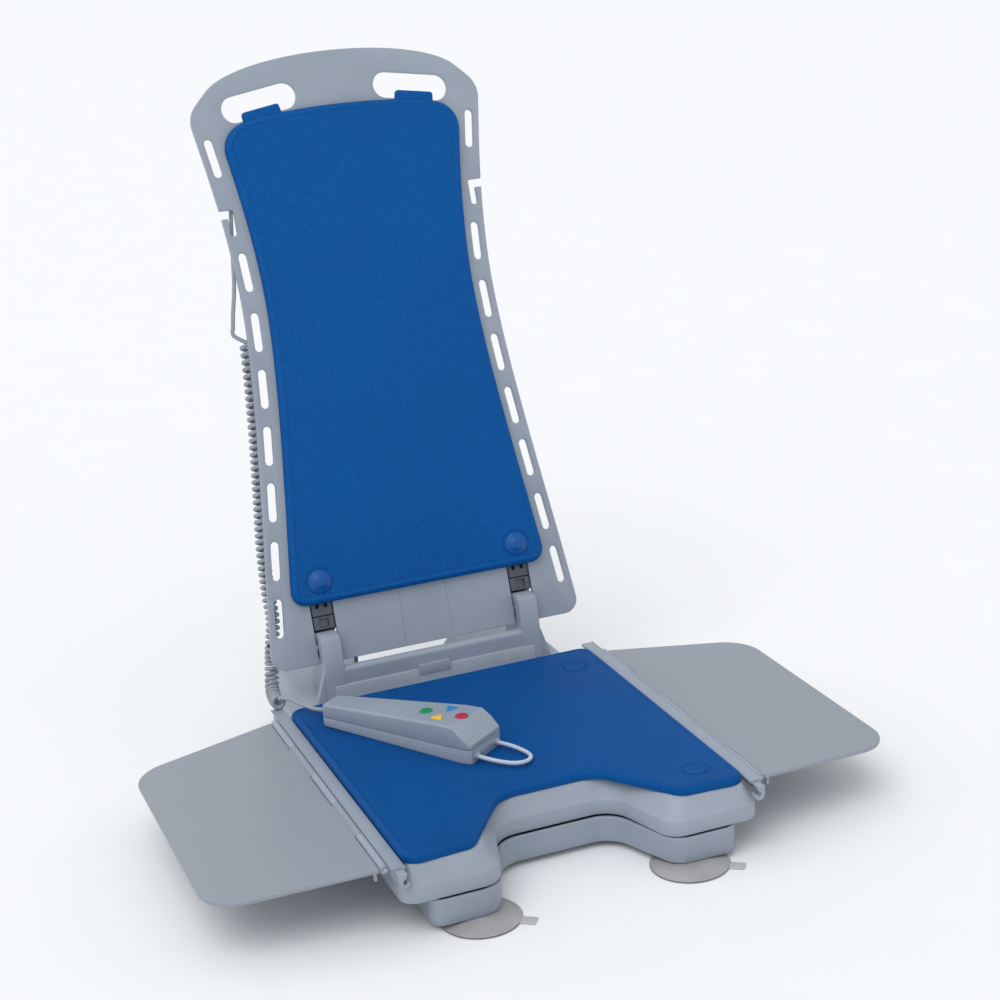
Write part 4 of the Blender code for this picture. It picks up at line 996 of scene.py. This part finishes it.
def handset():
    stations = [(0.0, 0.0034, 0.0034, 0.003), (0.0004, 0.0022, 0.0022, 0.0018),
                (0.0014, 0.0009, 0.0009, 0.0008), (0.0032, 0.0002, 0.0002, 0.0002), (0.0055, 0, 0, 0)]
    stations += [(0.0055 + 0.0095 * step, 0, 0, 0) for step in range(1, 18)]
    stations += [(0.1752, 0, 0, 0), (0.1762, 0, 0.0003, 0), (0.186, 0, 0.008, 0), (0.1868, 0.0003, 0.0087, 0),
                 (0.1938, 0.002, 0.0148, 0), (0.1953, 0.0031, 0.016, 0.0004), (0.196, 0.0042, 0.0168, 0.0013)]
    case = loft("case", [case_ring(*station) for station in stations])
    seam_turn = atan2(0.0054, HAND_LENGTH)
    for name, node, sign, offset in (("handset_lower", "handset_base", -1, -0.0002),
                                     ("handset_upper", "handset_top", 1, 0.0003)):
        bm = bmesh.new()
        bm.from_mesh(case.data)
        normal = Vector((-sin(seam_turn), 0, cos(seam_turn))) * sign
        sliced = bmesh.ops.bisect_plane(bm, geom=bm.verts[:] + bm.edges[:] + bm.faces[:],
                                        plane_co=(0, 0, 0.0106 + offset), plane_no=normal, clear_inner=True)
        rim = [item for item in sliced["geom_cut"] if isinstance(item, bmesh.types.BMEdge)]
        bmesh.ops.edgeloop_fill(bm, edges=rim)
        half = build(name, bm)
        bevelled(half, 0.0005, 2, 60)
        if sign > 0:
            cut(half, *[prism("pocket", key_shape(key, 1.07), handset_size(key[1])[1] - 0.005, 0.05)
                        for key in KEYS])
        half.data.transform(HAND)
        show(half, HAND_GREY, "handset", [node], 24)
    core = box("handset_seam", (0.004, -0.01, 0.0085), (0.19, 0.01, 0.0175), HAND)
    show(core, BLACK, "handset")
    remove(case)

    plate = box("handset_nose", (0.195, -0.0185, 0.0042), (0.1966, 0.0185, 0.012), HAND, 0.0004)
    show(plate, HAND_GREY, "handset")
    for tag, side in (("l", 1), ("r", -1)):
        collar = [(0, 0), (0.0036, 0), (0.0038, 0.0006), (0.0036, 0.003), (0.003, 0.004), (0, 0.004)]
        move = HAND @ Matrix.Translation((0.1955, 0.018 * side, 0.0072)) @ Matrix.Rotation(pi / 2, 4, "Y")
        show(turned(f"loop_collar_{tag}", collar, move, 32), HAND_GREY, "handset")
    front = 0.1963
    arm = [(front, 0.018, 0.007), (front + 0.02, 0.0178, 0.006), (front + 0.038, 0.014, 0.005),
           (front + 0.0475, 0.0075, 0.005)]
    bend = [(x, -y, z) for x, y, z in arm] + [(front + 0.05, 0, 0.005)] + arm[::-1]
    wire = tube("handset_wire_loop", smooth_points([HAND @ Vector(p) for p in bend], 0.002), 0.0022, 16)
    show(wire, LOOP, "handset", ["handset_loop"], 60)

    for key in KEYS:
        name = key[0]
        surface = handset_size(key[1])[1]
        levels = [(1.0, surface - 0.0028), (1.0, surface + 0.0006), (0.97, surface + 0.001),
                  (0.9, surface + 0.0012), (0.55, surface + 0.00135)]
        cap = stacked(f"key_cap_{name}", partial(key_shape, key), levels, HAND)
        show(cap, KEY[name], f"key_{name}_body", [f"key_{name}"], 50)


# ---- hidden works
def works():
    """The scissor, its tracks and the drive, which show when the seat is up."""
    pairs = (("arm_a", STEEL_Y, 0.0005), ("arm_b", STEEL_Y, 0.0005), ("mid_pin", STEEL_X, 0.0003),
             ("back_pin", STEEL_X, 0.0003), ("seat_track", STEEL_Y, 0.0004), ("flap_rod", STEEL_Y, 0))
    for tag, _ in SIDES:
        for node, metal, edge in pairs:
            rework(f"{node}_{tag}", metal, edge)
        for letter in "ab":
            rework(f"roller_{letter}_{tag}", BLACK, 0.0004)
    for node in ("arm_a_rod", "arm_b_rod", "arm_b_tie"):
        rework(node, STEEL_X, 0.0004)
    rework("drive_unit", BLACK, 0.0006)
    rework("screw_bearing", BLACK, 0.0005)
    low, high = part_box("seat_label")
    plate = box("plain_plate", (low.x, low.y - 0.0024, low.z), high, None, 0.0008)
    show(plate, GREY, "seat", ["seat_label"])
    low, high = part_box("drive_screw")
    middle = (low + high) / 2
    turns = int((high.y - low.y) / THREAD_PITCH)
    profile = [(0, 0)]
    for step in range(turns):
        at = THREAD_PITCH * step
        profile += [(0.004, at + 0.0002), (0.005, at + 0.0011), (0.005, at + 0.0019), (0.004, at + 0.0028)]
    profile.append((0, THREAD_PITCH * turns))
    move = Matrix.Translation((middle.x, low.y, middle.z)) @ Matrix.Rotation(radians(-90), 4, "X")
    show(turned("drive_screw_thread", profile, move, 32), STEEL_Y, "seat", ["drive_screw"], 40)


# ---- studio
def studio():
    """A white floor and backdrop, lit by a soft sky and two soft suns."""
    floor = turned("floor", [(0, -0.02), (60, -0.02), (60, -0.0002), (0, -0.0002)], None, 64)
    floor.data.materials.append(skin("floor_paper", (0.9, 0.905, 0.915), 0.995, 1.0, (0.75, 0.85), bump=0.0))
    world = bpy.data.worlds.new("studio")
    world.use_nodes = True
    nodes, link = world.node_tree.nodes, world.node_tree.links.new
    sky = socket(nodes["Background"], Color=(0.96, 0.98, 1.0, 1.0), Strength=0.74)
    backdrop = socket(nodes.new("ShaderNodeBackground"), Color=(1.0, 1.0, 1.0, 1.0))
    mix = nodes.new("ShaderNodeMixShader")
    link(nodes.new("ShaderNodeLightPath").outputs["Is Camera Ray"], mix.inputs["Fac"])
    for number, shader in ((1, sky), (2, backdrop)):
        link(shader.outputs["Background"], mix.inputs[number])
    link(mix.outputs["Shader"], nodes["World Output"].inputs["Surface"])
    bpy.context.scene.world = world
    for name, place, spread, power in (("key", (-0.45, -0.4, 1.0), 50, 0.95),
                                       ("back", (-0.3, 0.7, 0.9), 60, 0.35)):
        data = bpy.data.lights.new(name, "SUN")
        data.angle = radians(spread)
        data.energy = power
        placed(name, data).matrix_world = facing(place, Vector(place))
    bpy.context.scene.view_settings.view_transform = "Standard"


camera()
cords()
seat_pad()
back_pad()
back_plate()
latches()
seat_shell()
base_tray()
cups()
rails_and_flaps()
handset()
works()
studio()
